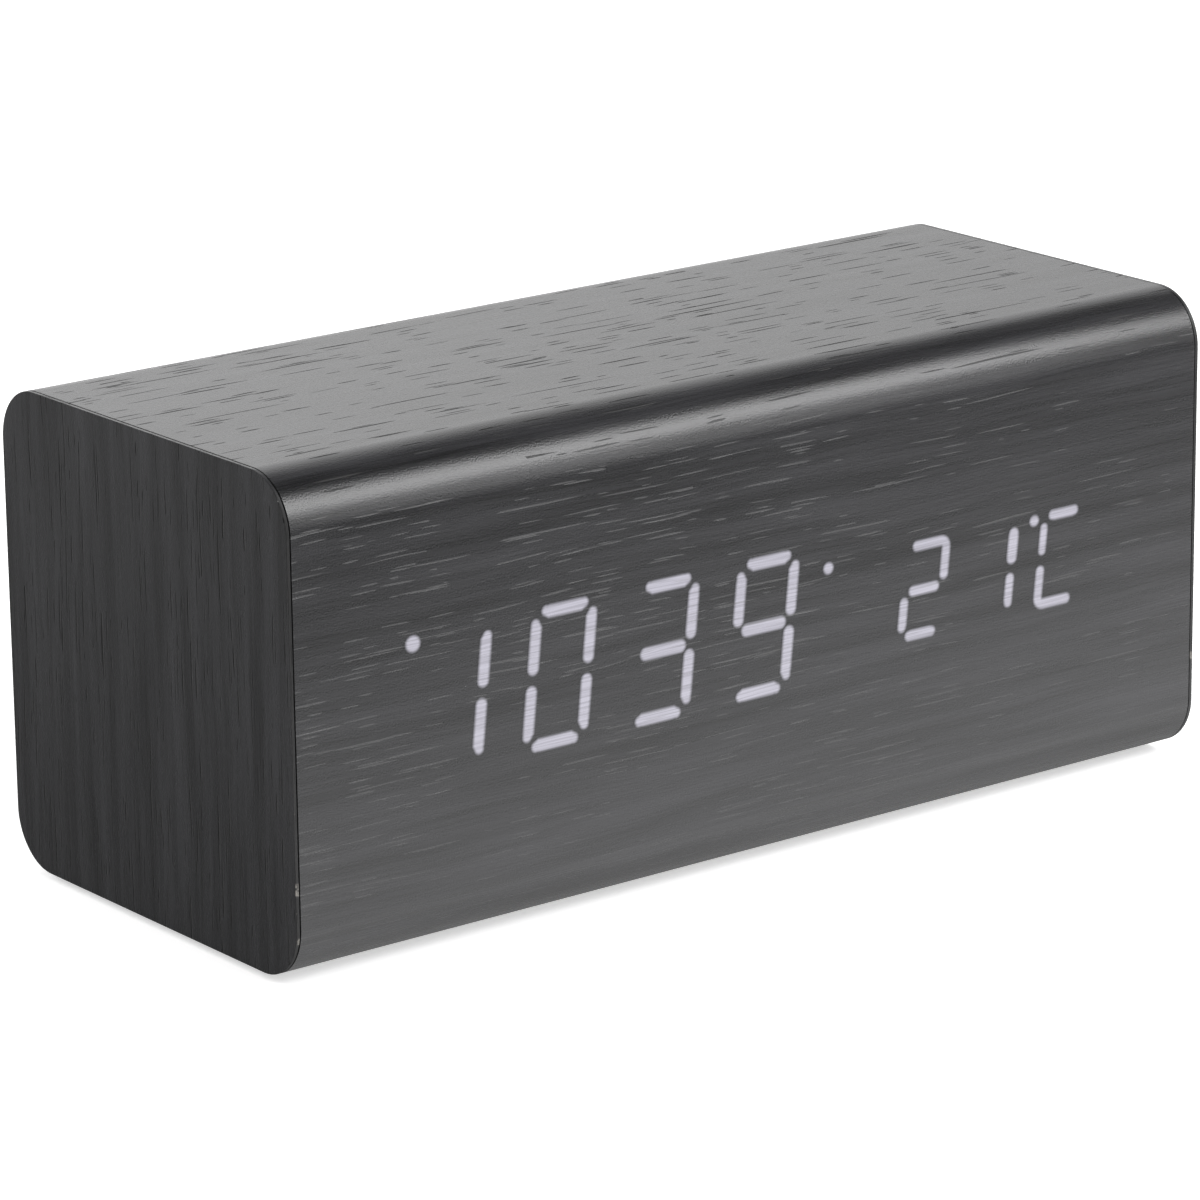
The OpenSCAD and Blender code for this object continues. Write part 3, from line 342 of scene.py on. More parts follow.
def veneer(name, upright, lit=False):
    """Open-pored veneer under a black stain and a satin lacquer; pores painted with a highlight on the
    front, and with shade and a highlight on the top and the ends.
    """
    f = Finish(name, (0.03, 0.03, 0.032), 0.3)
    x, y, z = f.parts(f.place)
    # Share of the top's pores, painted shade and highlight, against the front's, painted highlight; it also
    # sets the pores' width, number and tilt.
    if upright:
        fibres = (0.0, 0.0, 1.0)
        top_pores, steep = 1.0, END_STEEP
        g = f.group(GRAIN, f.vector(z, f.plus(y, f.times(x, 3.0))), pore_length=11.0, pore_spacing=1.5,
                    pore_width=END_PORE_W, pore_share=0.5, wave=0.5)
    else:
        fibres = (1.0, 0.0, 0.0)
        top_pores = f.span(z, TOP_FROM_Z, TOP_TO_Z)
        steep = f.between(top_pores, FRONT_STEEP, TOP_STEEP)
        front_share = f.times(f.span(x, -15.0, 45.0, 0.48, 0.18), f.between(top_pores, 1.0, 0.4))
        top_share = f.times(top_pores, f.span(x, -60.0, 20.0, 0.3, 0.2))
        g = f.group(GRAIN, f.node("ShaderNodeUVMap", uv_map="grain").outputs[0],
                    pore_share=f.most(front_share, top_share), even=f.times(top_pores, 0.7),
                    pore_width=f.between(top_pores, FRONT_PORE_W, TOP_PORE_W))
    edge = f.attribute("edge")
    chips = f.times(f.attribute("chips"), f.span(z, CHIPS_BELOW_Z, CHIPS_END_Z, 1.0, 0.0))
    worn = f.group(WEAR, edge=chips, patch=0.33, share=0.42)["Wear"]
    dust = f.group(SPECKS)["Dust"]
    tone = f.plus(f.times(g["Fibre"], FIBRE_SHARE), f.times(g["Band"], BAND_SHARE))
    tone = f.math("MULTIPLY_ADD", g["Peel"], PEEL_SHARE, tone)
    colour = f.blend(f.span(tone, 0.34, 0.66), STAIN_DARK, STAIN_LIGHT)
    # Painted shade and painted highlight on the two sides of a pore of the top and the ends, by its tilt;
    # on the front a painted highlight only.
    pit = f.blend(f.times(g["Tilt"], 1.5, clamp=True), TOP_PIT_SHADED, TOP_PIT_LIT)
    pit = f.blend(top_pores, FRONT_PIT_LIT, pit)
    colour = f.blend(f.times(g["Pore"], 0.85), colour, pit)
    colour = f.blend(f.times(edge, 0.85), colour, CUT_EDGE)
    colour = f.blend(worn, colour, BARE_WOOD)
    colour = f.blend(dust, colour, WOOD_DUST)
    lacquer = f.math("MULTIPLY_ADD", g["Fibre"], 0.03, LACQUER_ROUGH)
    open_pore = f.times(g["Pore"], f.between(top_pores, 0.05, 0.6))
    f.paint(base_color=colour, roughness=f.plus(lacquer, f.math("MULTIPLY_ADD", edge, 0.4, open_pore)))
    turn = f.node("ShaderNodeVectorTransform", {0: fibres}, vector_type="VECTOR", convert_from="OBJECT",
                  convert_to="WORLD").outputs[0]
    faced = f.node("ShaderNodeNewGeometry").outputs["Normal"]
    leaning = f.scaled(f.vectors("CROSS_PRODUCT", faced, turn), f.times(g["Tilt"], steep))
    groove = f.vectors("NORMALIZE", f.vectors("ADD", faced, leaning))
    f.bump(f.plus(f.times(g["Fibre"], 0.03), f.times(g["Peel"], 0.55)), 0.05, groove)
    if lit:
        light = f.times(f.attribute("glow"), f.minus(1.0, f.times(g["Pore"], 0.25)))
        light = f.times(light, f.span(g["Fibre"], 0.25, 0.75, 0.66, 1.14))
        f.paint(emission_color=f.blend(light, grey(0.0), DIODE_LIGHT), emission_strength=1.0)
    return f.material


def fibreboard(name):
    """Pressed fibreboard, painted black where the back leaves it bare."""
    f = Finish(name, (0.3, 0.2, 0.12), 0.85)
    x, y, z = f.parts(f.place)
    fibres = f.noise(f.vector(f.times(x, 0.4), y, z), 2.2, 4.0, 0.7)
    flecks = f.noise(f.place, 5.0, 2.0)
    colour = f.mottled(fibres, (0.2, 0.125, 0.07, 1.0), (0.37, 0.255, 0.155, 1.0))
    colour = f.blend(f.span(flecks, 0.62, 0.72), colour, (0.1, 0.06, 0.035, 1.0))
    painted = f.span(y, 29.6, 30.2)
    f.paint(base_color=f.blend(painted, colour, grey(0.012)), roughness=f.between(painted, 0.85, 0.6))
    f.bump(fibres, 0.08)
    return f.material


def plastic(name, colour, roughness, size=0.35, depth=0.03, wear=0.25, printed_y=None):
    """Moulded plastic with a fine texture and rubbed edges; what stands past a level is printed."""
    f = Finish(name, colour, roughness)
    height, shade = f.moulded(size, toned(colour, 0.86), toned(colour, 1.16))
    worn = f.group(WEAR, edge=f.attribute("edge"), patch=0.25, share=wear)["Wear"]
    dust = f.group(SPECKS, apart=7.0, size=0.1, share=0.25)["Dust"]
    shade = f.blend(worn, shade, toned(colour, 1.5, 0.02))
    shade = f.blend(f.times(dust, 0.7), shade, PLASTIC_DUST)
    if printed_y:
        y = f.parts(f.place)[1]
        shade = f.blend(f.span(y, printed_y - 0.02, printed_y + 0.02), shade, grey(0.62))
    rough = f.between(height, roughness + 0.06, roughness - 0.05)
    f.paint(base_color=shade, roughness=f.minus(rough, f.times(worn, 0.15)))
    f.bump(height, depth)
    return f.material


def metal(name, colour, roughness, fineness=14.0):
    """Plated or drawn metal with fine lines and faint stains."""
    f = Finish(name, colour, roughness, metallic=1.0)
    r = f.group(ROLLED, fineness=fineness)
    shade = f.blend(f.span(r["Stain"], 0.42, 0.72), (*colour, 1.0), toned(colour, 0.78))
    f.paint(base_color=shade, roughness=f.span(r["Line"], 0.3, 0.7, roughness - 0.06, roughness + 0.1))
    f.bump(r["Line"], 0.004)
    return f.material


def foot_foam(name):
    """Cut foam with open cells."""
    f = Finish(name, (0.03, 0.03, 0.031), 0.95)
    pockets = f.cells(f.place, 2.6)["Distance"]
    height = f.group(MOULD, size=0.5)["Height"]
    # The hollows of the cells are painted darker: painted shade.
    shade = f.blend(f.span(pockets, 0.1, 0.7), grey(0.014), grey(0.042))
    f.paint(base_color=shade, roughness=f.between(height, 0.88, 1.0))
    f.bump(pockets, 0.12)
    return f.material


def milky_guide(name):
    """Milky plastic that carries the light of the diodes to the veneer."""
    f = Finish(name, (0.8, 0.8, 0.84), 0.3, subsurface_weight=0.4)
    height, shade = f.moulded(0.8, (0.72, 0.72, 0.77, 1.0), (0.86, 0.86, 0.9, 1.0))
    f.paint(base_color=shade, roughness=f.between(height, 0.26, 0.38))
    f.bump(height, 0.01)
    return f.material


def board_lacquer(name):
    """Green lacquer over copper tracks, with plated holes."""
    f = Finish(name, (0.02, 0.13, 0.06), 0.3)
    x, _, z = f.parts(f.place)
    flat = f.vector(x, z)
    pattern = {"Vector": flat, "Scale": 0.42, "Mortar Size": 0.05}
    tracks = f.node("ShaderNodeTexBrick", pattern, offset=0.37).outputs["Fac"]
    lines = f.span(tracks, 0.2, 0.8)
    holes = f.cells(flat, 0.3, flat=True)["Distance"]
    height, shade = f.moulded(0.9, (0.012, 0.1, 0.045, 1.0), (0.022, 0.14, 0.065, 1.0))
    shade = f.blend(lines, shade, (0.03, 0.2, 0.085, 1.0))
    shade = f.blend(f.span(holes, 0.16, 0.13), shade, (0.72, 0.66, 0.5, 1.0))
    f.paint(base_color=shade, roughness=f.between(height, 0.26, 0.36))
    f.bump(lines, 0.03)
    return f.material


RIBBON_X = 18.5
RIBBON_PITCH = 1.27


def ribbon_grey(name):
    """Ten conductors side by side, the first one marked."""
    f = Finish(name, (0.3, 0.3, 0.31), 0.5)
    along = f.over(f.minus(f.parts(f.place)[0], RIBBON_X), RIBBON_PITCH)
    wave = f.math("ABSOLUTE", f.math("SINE", f.times(along, math.pi)))
    height, shade = f.moulded(0.7, grey(0.26), grey(0.33))
    shade = f.blend(f.math("LESS_THAN", along, 1.0), shade, (0.42, 0.03, 0.03, 1.0))
    f.paint(base_color=shade, roughness=f.between(height, 0.42, 0.55))
    f.bump(wave, 0.3)
    return f.material


def cell_wrap(name):
    """A plain printed sleeve shrunk over a metal can, bare at both ends."""
    f = Finish(name, (0.5, 0.52, 0.55), 0.32)
    lines = f.group(ROLLED, fineness=9.0)["Line"]
    bare = f.attribute("bare")
    height, shade = f.moulded(1.4, (0.42, 0.45, 0.5, 1.0), (0.5, 0.53, 0.58, 1.0))
    shade = f.blend(f.attribute("band"), shade, (0.045, 0.06, 0.09, 1.0))
    shade = f.blend(bare, shade, grey(0.66))
    f.paint(base_color=shade, metallic=f.between(bare, 0.35, 1.0),
            roughness=f.span(lines, 0.3, 0.7, 0.26, 0.4))
    f.bump(height, 0.01)
    return f.material


def lead_insulation(name):
    """Smooth insulation, red on the plus lead and black on the minus lead."""
    f = Finish(name, (0.3, 0.02, 0.02), 0.42)
    height, shade = f.moulded(0.6, (0.26, 0.014, 0.014, 1.0), (0.36, 0.025, 0.025, 1.0))
    shade = f.blend(f.attribute("minus"), shade, grey(0.02))
    f.paint(base_color=shade, roughness=f.between(height, 0.36, 0.5))
    f.bump(height, 0.01)
    return f.material


PRINT_Y = 33.52
VENEER_END = veneer("veneer on the ends", True)
VENEER_LIT = veneer("veneer lit from behind", False, True)
FINISHES = {
    "stained_veneer": veneer("veneer along the casing", False),
    "fibreboard": fibreboard("painted fibreboard"),
    "foot_foam": foot_foam("foot foam"),
    "milky_guide": milky_guide("milky light guide"),
    "white_plastic": plastic("white moulded plastic", (0.78, 0.78, 0.76), 0.45),
    "board_lacquer": board_lacquer("green board lacquer"),
    "chip_black": plastic("black chip mould", (0.016, 0.016, 0.017), 0.5, 0.2, 0.01),
    "bright_steel": metal("nickel-plated steel", (0.62, 0.61, 0.59), 0.3),
    "ribbon_grey": ribbon_grey("grey ribbon"),
    "panel_black": plastic("black moulded panel", (0.026, 0.026, 0.028), 0.5),
    "button_grey": plastic("grey button plastic", (0.07, 0.07, 0.074), 0.42, 0.25, 0.012, 0.4, PRINT_Y),
    "cell_wrap": cell_wrap("printed cell sleeve"),
    "lead_insulation": lead_insulation("lead insulation"),
    "tin_can": metal("drawn tin", (0.72, 0.72, 0.72), 0.24, 9.0),
    "clip_brass": metal("brass strip", (0.75, 0.56, 0.27), 0.28, 11.0),
}


# Geometry trees for what repeats or follows a path


def geometry_tree(name, inputs):
    """An empty geometry tree with its named inputs, the ends to wire between and the identifiers."""
    tree = bpy.data.node_groups.new(name, "GeometryNodeTree")
    add = tree.interface.new_socket
    add(name="Geometry", in_out="INPUT", socket_type="NodeSocketGeometry")
    sockets = {}
    for label, kind, value in inputs:
        socket = add(name=label, in_out="INPUT", socket_type="NodeSocket" + kind)
        if value is not None:
            socket.default_value = value
        sockets[label] = socket.identifier
    add(name="Geometry", in_out="OUTPUT", socket_type="NodeSocketGeometry")
    w = Wiring(tree)
    return w, w.node("NodeGroupInput").outputs, w.node("NodeGroupOutput").inputs[0], sockets


def dress(w, geometry, finish, out):
    """Ends a tree: instances made real, in the given finish."""
    real = w.node("GeometryNodeRealizeInstances", {0: geometry})
    dressed = w.node("GeometryNodeSetMaterial", {"Geometry": real.outputs[0], "Material": finish})
    w.feed(out, dressed.outputs[0])


def copies_tree():
    """A shape repeated on points, each turned by the point's own angles."""
    w, given, out, sockets = geometry_tree("copies on points", [
        ("Shape", "Object", None), ("Finish", "Material", None), ("Size", "Float", 1.0)])
    shape = w.node("GeometryNodeObjectInfo", {"Object": given["Shape"]})
    angle = w.node("GeometryNodeInputNamedAttribute", {"Name": "turn"}, data_type="FLOAT_VECTOR")
    placed = w.node("GeometryNodeInstanceOnPoints", {
        "Points": given["Geometry"], "Instance": shape.outputs["Geometry"],
        "Rotation": angle.outputs[0], "Scale": w.vector(given["Size"], given["Size"], given["Size"])})
    dress(w, placed.outputs[0], given["Finish"], out)
    return w.tree, sockets


def wire_tree():
    """A round wire along a path, closed at both ends."""
    w, given, out, sockets = geometry_tree("wire along a path", [
        ("Radius", "Float", 0.0006), ("Sides", "Int", 16), ("Finish", "Material", None)])
    path = w.node("GeometryNodeMeshToCurve", {0: given["Geometry"]})
    section = {"Resolution": given["Sides"], "Radius": given["Radius"]}
    ring = w.node("GeometryNodeCurvePrimitiveCircle", section)
    swept = {"Curve": path.outputs[0], "Profile Curve": ring.outputs[0], "Fill Caps": True}
    tube = w.node("GeometryNodeCurveToMesh", swept)
    smooth = w.node("GeometryNodeSetShadeSmooth", {0: tube.outputs[0]})
    dress(w, smooth.outputs[0], given["Finish"], out)
    return w.tree, sockets


COPIES = copies_tree()
WIRE = wire_tree()


# Helpers for meshes


def object_of(name, data):
    made = bpy.data.objects.new(name, data)
    bpy.context.scene.collection.objects.link(made)
    return made


def applied(holder, modifier, name):
    """The plain mesh that an object's modifier makes; the object goes."""
    holder.update_tag()
    bpy.context.view_layer.update()
    ready = holder.evaluated_get(bpy.context.evaluated_depsgraph_get())
    result = bpy.data.meshes.new_from_object(ready)
    result.name = name
    holder.modifiers.remove(modifier)
    bpy.data.objects.remove(holder)
    return result


def grown(name, mesh, tree, **inputs):
    """The plain mesh that a geometry tree makes from a mesh."""
    group, sockets = tree
    seed = object_of(name + "_seed", mesh)
    modifier = seed.modifiers.new("grown", "NODES")
    modifier.node_group = group
    for label, value in inputs.items():
        modifier[sockets[label.title()]] = value
    return applied(seed, modifier, name)


def copies(name, shape, places, finish, turns=None):
    """One mesh with the shape at every place, in metres."""
    points = bpy.data.meshes.new(name + "_points")
    points.from_pydata([tuple(p) for p in places], [], [])
    angles = points.attributes.new("turn", "FLOAT_VECTOR", "POINT")
    for i in range(len(places)):
        angles.data[i].vector = turns[i] if turns else (0.0, 0.0, 0.0)
    holder = object_of(name + "_shape", shape)
    result = grown(name, points, COPIES, shape=holder, finish=finish)
    bpy.data.objects.remove(holder)
    return result


def joined(meshes):
    bm = bmesh.new()
    for mesh in meshes:
        bm.from_mesh(mesh)
    result = meshes[0].copy()
    bm.to_mesh(result)
    bm.free()
    return result


def plain(bm, name):
    mesh = bpy.data.meshes.new(name)
    bm.to_mesh(mesh)
    bm.free()
    return mesh


def closed(bm, name):
    """The plain mesh of a closed form, its faces turned outwards."""
    bmesh.ops.recalc_face_normals(bm, faces=bm.faces)
    return plain(bm, name)


def ring(bm, places):
    """New points at places in millimetres, in their order."""
    return [bm.verts.new((x * MM, y * MM, z * MM)) for x, y, z in places]


def band(bm, a, b):
    """The faces between two rings of points."""
    turned_on = [(i, (i + 1) % len(a)) for i in range(len(a))]
    return [bm.faces.new([a[i], a[k], b[k], b[i]]) for i, k in turned_on]


def loft(bm, rings):
    """The bands of faces from ring to ring, with both ends closed."""
    bands = [band(bm, a, b) for a, b in zip(rings, rings[1:])]
    bm.faces.new(rings[0])
    bm.faces.new(rings[-1])
    return bands


def circle(radius, sides):
    angles = [2 * math.pi * k / sides for k in range(sides)]
    return [(radius * math.cos(a), radius * math.sin(a)) for a in angles]


def arc(across, up, radius, first, last, steps):
    """Points on a circle between two angles in degrees."""
    angles = [math.radians(first + (last - first) * i / steps) for i in range(steps + 1)]
    return [(across + radius * math.cos(a), up + radius * math.sin(a)) for a in angles]


POLE = 1e-9


def turned(profile, sides=40, marks=None):
    """A closed form of revolution about Z from radius and height pairs, with marks on its bands."""
    bm = bmesh.new()
    layers = {label: bm.faces.layers.float.new(label) for label in (marks or {})}
    rings = []
    for r, z in profile:
        flat = [(0.0, 0.0)] if r < POLE else circle(r, sides)
        rings.append(ring(bm, [(x, y, z) for x, y in flat]))
    for j, (a, b) in enumerate(zip(rings, rings[1:])):
        for k in range(sides):
            n = (k + 1) % sides
            corners = [a[k % len(a)], a[n % len(a)], b[n % len(b)], b[k % len(b)]]
            corners = [v for i, v in enumerate(corners) if v not in corners[:i]]
            made = bm.faces.new(corners)
            for label, layer in layers.items():
                made[layer] = marks[label][j]
    return closed(bm, "turned")


SMOOTH_ANGLE = 30.0


def settle(name, mesh, slot, body="clock", replaced=(), finish=None):
    """Puts a finished mesh into the scene as a piece that rides on a body."""
    mesh.name = name
    mesh.materials.clear()
    mesh.materials.append(finish or FINISHES[slot])
    mesh.shade_smooth()
    mesh.set_sharp_from_angle(angle=math.radians(SMOOTH_ANGLE))
    holder = object_of(name + "_plain", mesh)
    weighted = holder.modifiers.new("flat faces", "WEIGHTED_NORMAL")
    weighted.keep_sharp = True
    weighted.weight = 100
    piece = object_of(name, applied(holder, weighted, name))
    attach(piece, body)
    if replaced:
        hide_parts(*replaced)


def settle_copies(name, shape, places, slot, node, turns=None):
    """A shape at every place, as one piece of the clock in the place of a node."""
    settle(name, copies(name, shape, places, FINISHES[slot], turns), slot, replaced=(node,))


# Veneer


def casing_profile(inset):
    """The casing's outline in Y and Z, from the middle of the underside round the front, top and back."""
    r, steps = CORNER - inset, CORNER_STEPS
    y, low, high = HALF_D - CORNER, LOW_Z + CORNER, HIGH_Z - CORNER
    points = [(0.0, LOW_Z + inset)]
    points += arc(-y, low, r, 270, 180, steps) + arc(-y, high, r, 180, 90, steps)
    points += arc(y, high, r, 90, 0, steps) + [(HALF_D - inset, MID_Z)] + arc(y, low, r, 0, -90, steps)
    points.append((0.0, LOW_Z + inset))
    return points


def way_round(points):
    """How far along an outline each of its points lies."""
    way = [0.0]
    for a, b in zip(points, points[1:]):
        way.append(way[-1] + math.dist(a, b))
    return way


WAY = way_round(casing_profile(0.0))
ROUND = len(WAY) - 1
FRONT_LOW = WAY[CORNER_STEPS + 1]
BACK_MIDDLE = 1 + 3 * (CORNER_STEPS + 1)


def rounded_rect(width, height, radius, steps=10):
    """Outline in X and Z from the middle of the right side, anticlockwise."""
    x, z, half = width / 2 - radius, height / 2 - radius, width / 2
    upper = arc(x, z, radius, 0, 90, steps) + arc(-x, z, radius, 90, 180, steps)
    lower = arc(-x, -z, radius, 180, 270, steps) + arc(x, -z, radius, 270, 360, steps)
    return [(half, 0.0)] + upper + [(-half, 0.0)] + lower


def veneer_wrap():
    """The veneer round the long sides: a closed shell with the opening for the rear panel."""
    bm = bmesh.new()
    grain = bm.loops.layers.uv.new("grain")
    edge = bm.faces.layers.float.new("edge")
    back = BACK_MIDDLE

    def outline(x, inset):
        return ring(bm, [(x, y, z) for y, z in casing_profile(inset)[:ROUND]])

    def opening(inset, y):
        points = rounded_rect(POCKET_W + 2 * inset, POCKET_H + 2 * inset, POCKET_R + inset)
        return ring(bm, [(x, y, MID_Z + z) for x, z in points])

    def face(corners, ways, mark=0.0):
        made = bm.faces.new(corners)
        made[edge] = mark
        for loop, way in zip(made.loops, ways):
            loop[grain].uv = (loop.vert.co.x / MM, way)

    def round_face(a, b, i, mark):
        k = (i + 1) % ROUND
        face([a[i], a[k], b[k], b[i]], [WAY[i], WAY[i + 1], WAY[i + 1], WAY[i]], mark)

    def back_face(corners, mark=0.0):
        face(corners, [WAY[back] + MID_Z - v.co.z / MM for v in corners], mark)

    def skin(rings, hole, marks):
        middle = len(rings) // 2 - 1
        for j, mark in enumerate(marks):
            for i in range(ROUND):
                if j != middle or i not in (back - 1, back):
                    round_face(rings[j], rings[j + 1], i, mark)
        left, right = rings[middle], rings[middle + 1]
        half = len(hole) // 2
        back_face([left[back - 1], right[back - 1], right[back]] + hole[:half + 1] + [left[back]])
        back_face([right[back + 1], left[back + 1], left[back]] + hole[half:] + [hole[0], right[back]])

    outer = [outline(-SLEEVE_HALF, SEAM_DEPTH), outline(-SLEEVE_HALF + WRAP_LIP, SKIN),
             outline(SLEEVE_HALF - WRAP_LIP, SKIN), outline(SLEEVE_HALF, SEAM_DEPTH)]
    inner = [outline(-SLEEVE_HALF, VENEER), outline(SLEEVE_HALF, VENEER)]
    outer_hole = opening(WRAP_LIP, HALF_D - SKIN)
    rim_hole = opening(0.0, HALF_D - SKIN - WRAP_LIP)
    inner_hole = opening(0.0, HALF_D - VENEER)
    skin(outer, outer_hole, (1.0, 0.0, 1.0))
    skin(inner, inner_hole, (0.0,))
    for a, b in ((outer[0], inner[0]), (outer[-1], inner[-1])):
        for i in range(ROUND):
            round_face(a, b, i, 1.0)
    for a, b, mark in ((outer_hole, rim_hole, 0.6), (rim_hole, inner_hole, 1.0)):
        for i in range(len(a)):
            k = (i + 1) % len(a)
            back_face([a[i], a[k], b[k], b[i]], mark)
    return closed(bm, "veneer_wrap")


# For each ring of an end sheet: how far out and how far in from the outline
END_RINGS = ((SLEEVE_HALF, SEAM_DEPTH), (SLEEVE_HALF + 0.1, SKIN + 0.03), (HALF_W - END_LIP, SKIN),
             (HALF_W - END_LIP * 0.3, SKIN + END_LIP * 0.3), (HALF_W - 0.005, SKIN + END_LIP))
# For each band between them: how dark its cut edge is and how much of it is chipped
END_MARKS = ((1.0, 0.0), (0.9, 0.5), (0.8, 1.0), (0.3, 0.6))
# The left end's cut edge is painted darker than the right's, and EDGE_FADE fades the dark out under the
# top: painted shade over the edge's own dark.
END_DARK = {-1: 1.0, 1: 0.5}
EDGE_FADE = 4.0


def end_sheet(side):
    """The veneer over one end, with a dark cut edge that fades out under the top; the fade and the left
    end's darker edge are painted shade.
    """
    bm = bmesh.new()
    edge = bm.faces.layers.float.new("edge")
    chips = bm.faces.layers.float.new("chips")
    rings = []
    for x, inset in END_RINGS:
        rings.append(ring(bm, [(side * x, y, z) for y, z in casing_profile(inset)[:ROUND]]))
    for (mark, chip), faces in zip(END_MARKS, loft(bm, rings)):
        for i, made in enumerate(faces):
            height = (rings[1][i].co.z + rings[1][(i + 1) % ROUND].co.z) / (2 * MM)
            shown = min(1.0, (HIGH_Z - SKIN - height) / EDGE_FADE)
            # Painted shade on the cut edge: darker on the left end, fading out under the top.
            made[edge] = mark * END_DARK[side] * shown
            made[chips] = chip
    return closed(bm, "end_sheet")


settle("veneer_wrap", veneer_wrap(), "stained_veneer", replaced=("sleeve_veneer",))
for label, side in (("left", -1), ("right", 1)):
    settle(f"veneer_end_{label}", end_sheet(side), "stained_veneer", replaced=(f"end_veneer_{label}",),
           finish=VENEER_END)


# Digits that shine through the veneer

LEAN = math.tan(math.radians(6.3))
LIT_Y = -HALF_D + 0.004
PATCH_T = 0.03
# For each ring of a lit patch: how far outside its stroke and how bright
GLOW_RINGS = ((-0.5, 1.0), (-0.36, 0.97), (-0.22, 0.82), (-0.08, 0.52), (0.06, 0.22), (0.21, 0.0))
STROKE_GAP, STROKE_TIP, STROKE_TURN = 0.7, 0.35, 1.1
# For each row of digits: centres, strokes that are lit, and the sizes that digit_paths takes
DIGIT_ROWS = {
    "time_glow": ((-53.9, -36.3, -18.7, -1.1), ("bc", "abcdef", "abcdg", "abcdfg"), (9.3, 18.3, 1.84)),
    "temperature_glow": ((27.95, 40.7, 53.45), ("Pged", "Bc", "aFQ"), (7.0, 12.8, 1.56, 0.95, 0.05)),
}
# For each dot: X, height over the middle, and diameter
DOTS = ((-60.4, 8.9, 2.3), (10.499, 6.15, 1.7), (48.6, 6.15, 1.65))


def glow_patch(path, steps=8):
    """A thin patch along a path of X, Z and half width, bright in the middle and fading out at its rim."""
    points = [(Vector(p[:2]), p[2]) for p in path]
    bm = bmesh.new()
    glow = bm.verts.layers.float.new("glow")

    def outline(offset):
        result = []
        for chain in (points, points[::-1]):
            for i, (p, half) in enumerate(chain):
                before = (p - chain[i - 1][0]).normalized() if i else None
                if i == len(chain) - 1:
                    start = math.atan2(-before.x, before.y)
                    result += [p + (half + offset) * Vector((math.cos(a), math.sin(a)))
                               for a in (start + math.pi * k / steps for k in range(steps + 1))]
                elif i:
                    way = (before + (chain[i + 1][0] - p).normalized()).normalized()
                    result.append(p + (half + offset) * Vector((way.y, -way.x)))
        return result

    rings = []
    for offset, bright in GLOW_RINGS:
        rings.append(ring(bm, [(p.x, LIT_Y, p.y) for p in outline(offset)]))
        for v in rings[-1]:
            v[glow] = bright
    rings.append([bm.verts.new((v.co.x, (LIT_Y + PATCH_T) * MM, v.co.z)) for v in rings[-1]])
    loft(bm, rings)
    return closed(bm, "glow_patch")


def mapped(mesh):
    """Lays the veneer's grain on a patch of the front, so that the lines run on across it."""
    layer = mesh.uv_layers.new(name="grain")
    for loop in mesh.loops:
        co = mesh.vertices[loop.vertex_index].co
        layer.data[loop.index].uv = (co.x / MM, FRONT_LOW + co.z / MM - LOW_Z - CORNER)
    return mesh


def digit_paths(width, height, thick, tip_share=0.8, splay=0.16):
    """The seven strokes of a digit, their ends splayed to the outer corners, and four of other forms."""
    w, h, half = width / 2, height / 2, thick / 2
    low, tip = half + STROKE_GAP, half * tip_share
    flat, high, turn = w - low, h - low, STROKE_TURN

    def lying(z, out):
        return [(-flat - splay, z + out * splay, tip), (-flat + STROKE_TIP, z, half),
                (flat - STROKE_TIP, z, half), (flat + splay, z + out * splay, tip)]

    def standing(x, up, out, wide=1.0):
        return [(x, up * low, half * wide), (x, up * (high - STROKE_TIP), half * wide),
                (x + out * splay, up * (high + splay), tip * wide)]

    def joined_pair(side):
        corner = [(side * (w - turn + turn * math.sin(a)), side * (h - turn + turn * math.cos(a)), half)
                  for a in (math.pi / 2 * k / 6 for k in range(7))]
        return [(-side * flat, side * h, half)] + corner + [(side * w, side * low, half)]

    paths = {
        "a": lying(h, 1), "b": standing(w, 1, 1), "c": standing(w, -1, 1), "d": lying(-h, -1),
        "e": standing(-w, -1, -1), "f": standing(-w, 1, -1), "g": [(-flat, 0, half), (flat, 0, half)],
        "B": standing(w, 1, 0, 1.2), "F": [(-w, low, half * 0.88), (-w, high - 0.15, half * 0.88)],
        "P": joined_pair(1), "Q": joined_pair(-1),
    }
    return {letter: [(x + z * LEAN, z, r) for x, z, r in path] for letter, path in paths.items()}


def lit_row(name, centres, lit, sizes):
    """One row of digits; each stroke is repeated in every digit that shows it."""
    parts = []
    for letter, path in digit_paths(*sizes).items():
        places = [Vector((x, 0.0, MID_Z)) * MM for x, letters in zip(centres, lit) if letter in letters]
        if places:
            parts.append(copies(f"{name}_{letter}", glow_patch(path), places, VENEER_LIT))
    return mapped(joined(parts))


def lit_dots():
    parts = []
    for i, (x, z, wide) in enumerate(DOTS):
        patch = glow_patch([(-0.05, 0, wide / 2), (0.05, 0, wide / 2)])
        parts.append(copies(f"dot_{i}", patch, [Vector((x, 0, MID_Z + z)) * MM], VENEER_LIT))
    return mapped(joined(parts))


for row, shape in DIGIT_ROWS.items():
    settle(row, lit_row(row, *shape), "stained_veneer", finish=VENEER_LIT)
settle("dots_glow", lit_dots(), "stained_veneer", finish=VENEER_LIT)


# Back, feet and battery bay

MERGE_M = 2e-6
FLAT_ANGLE = 0.6


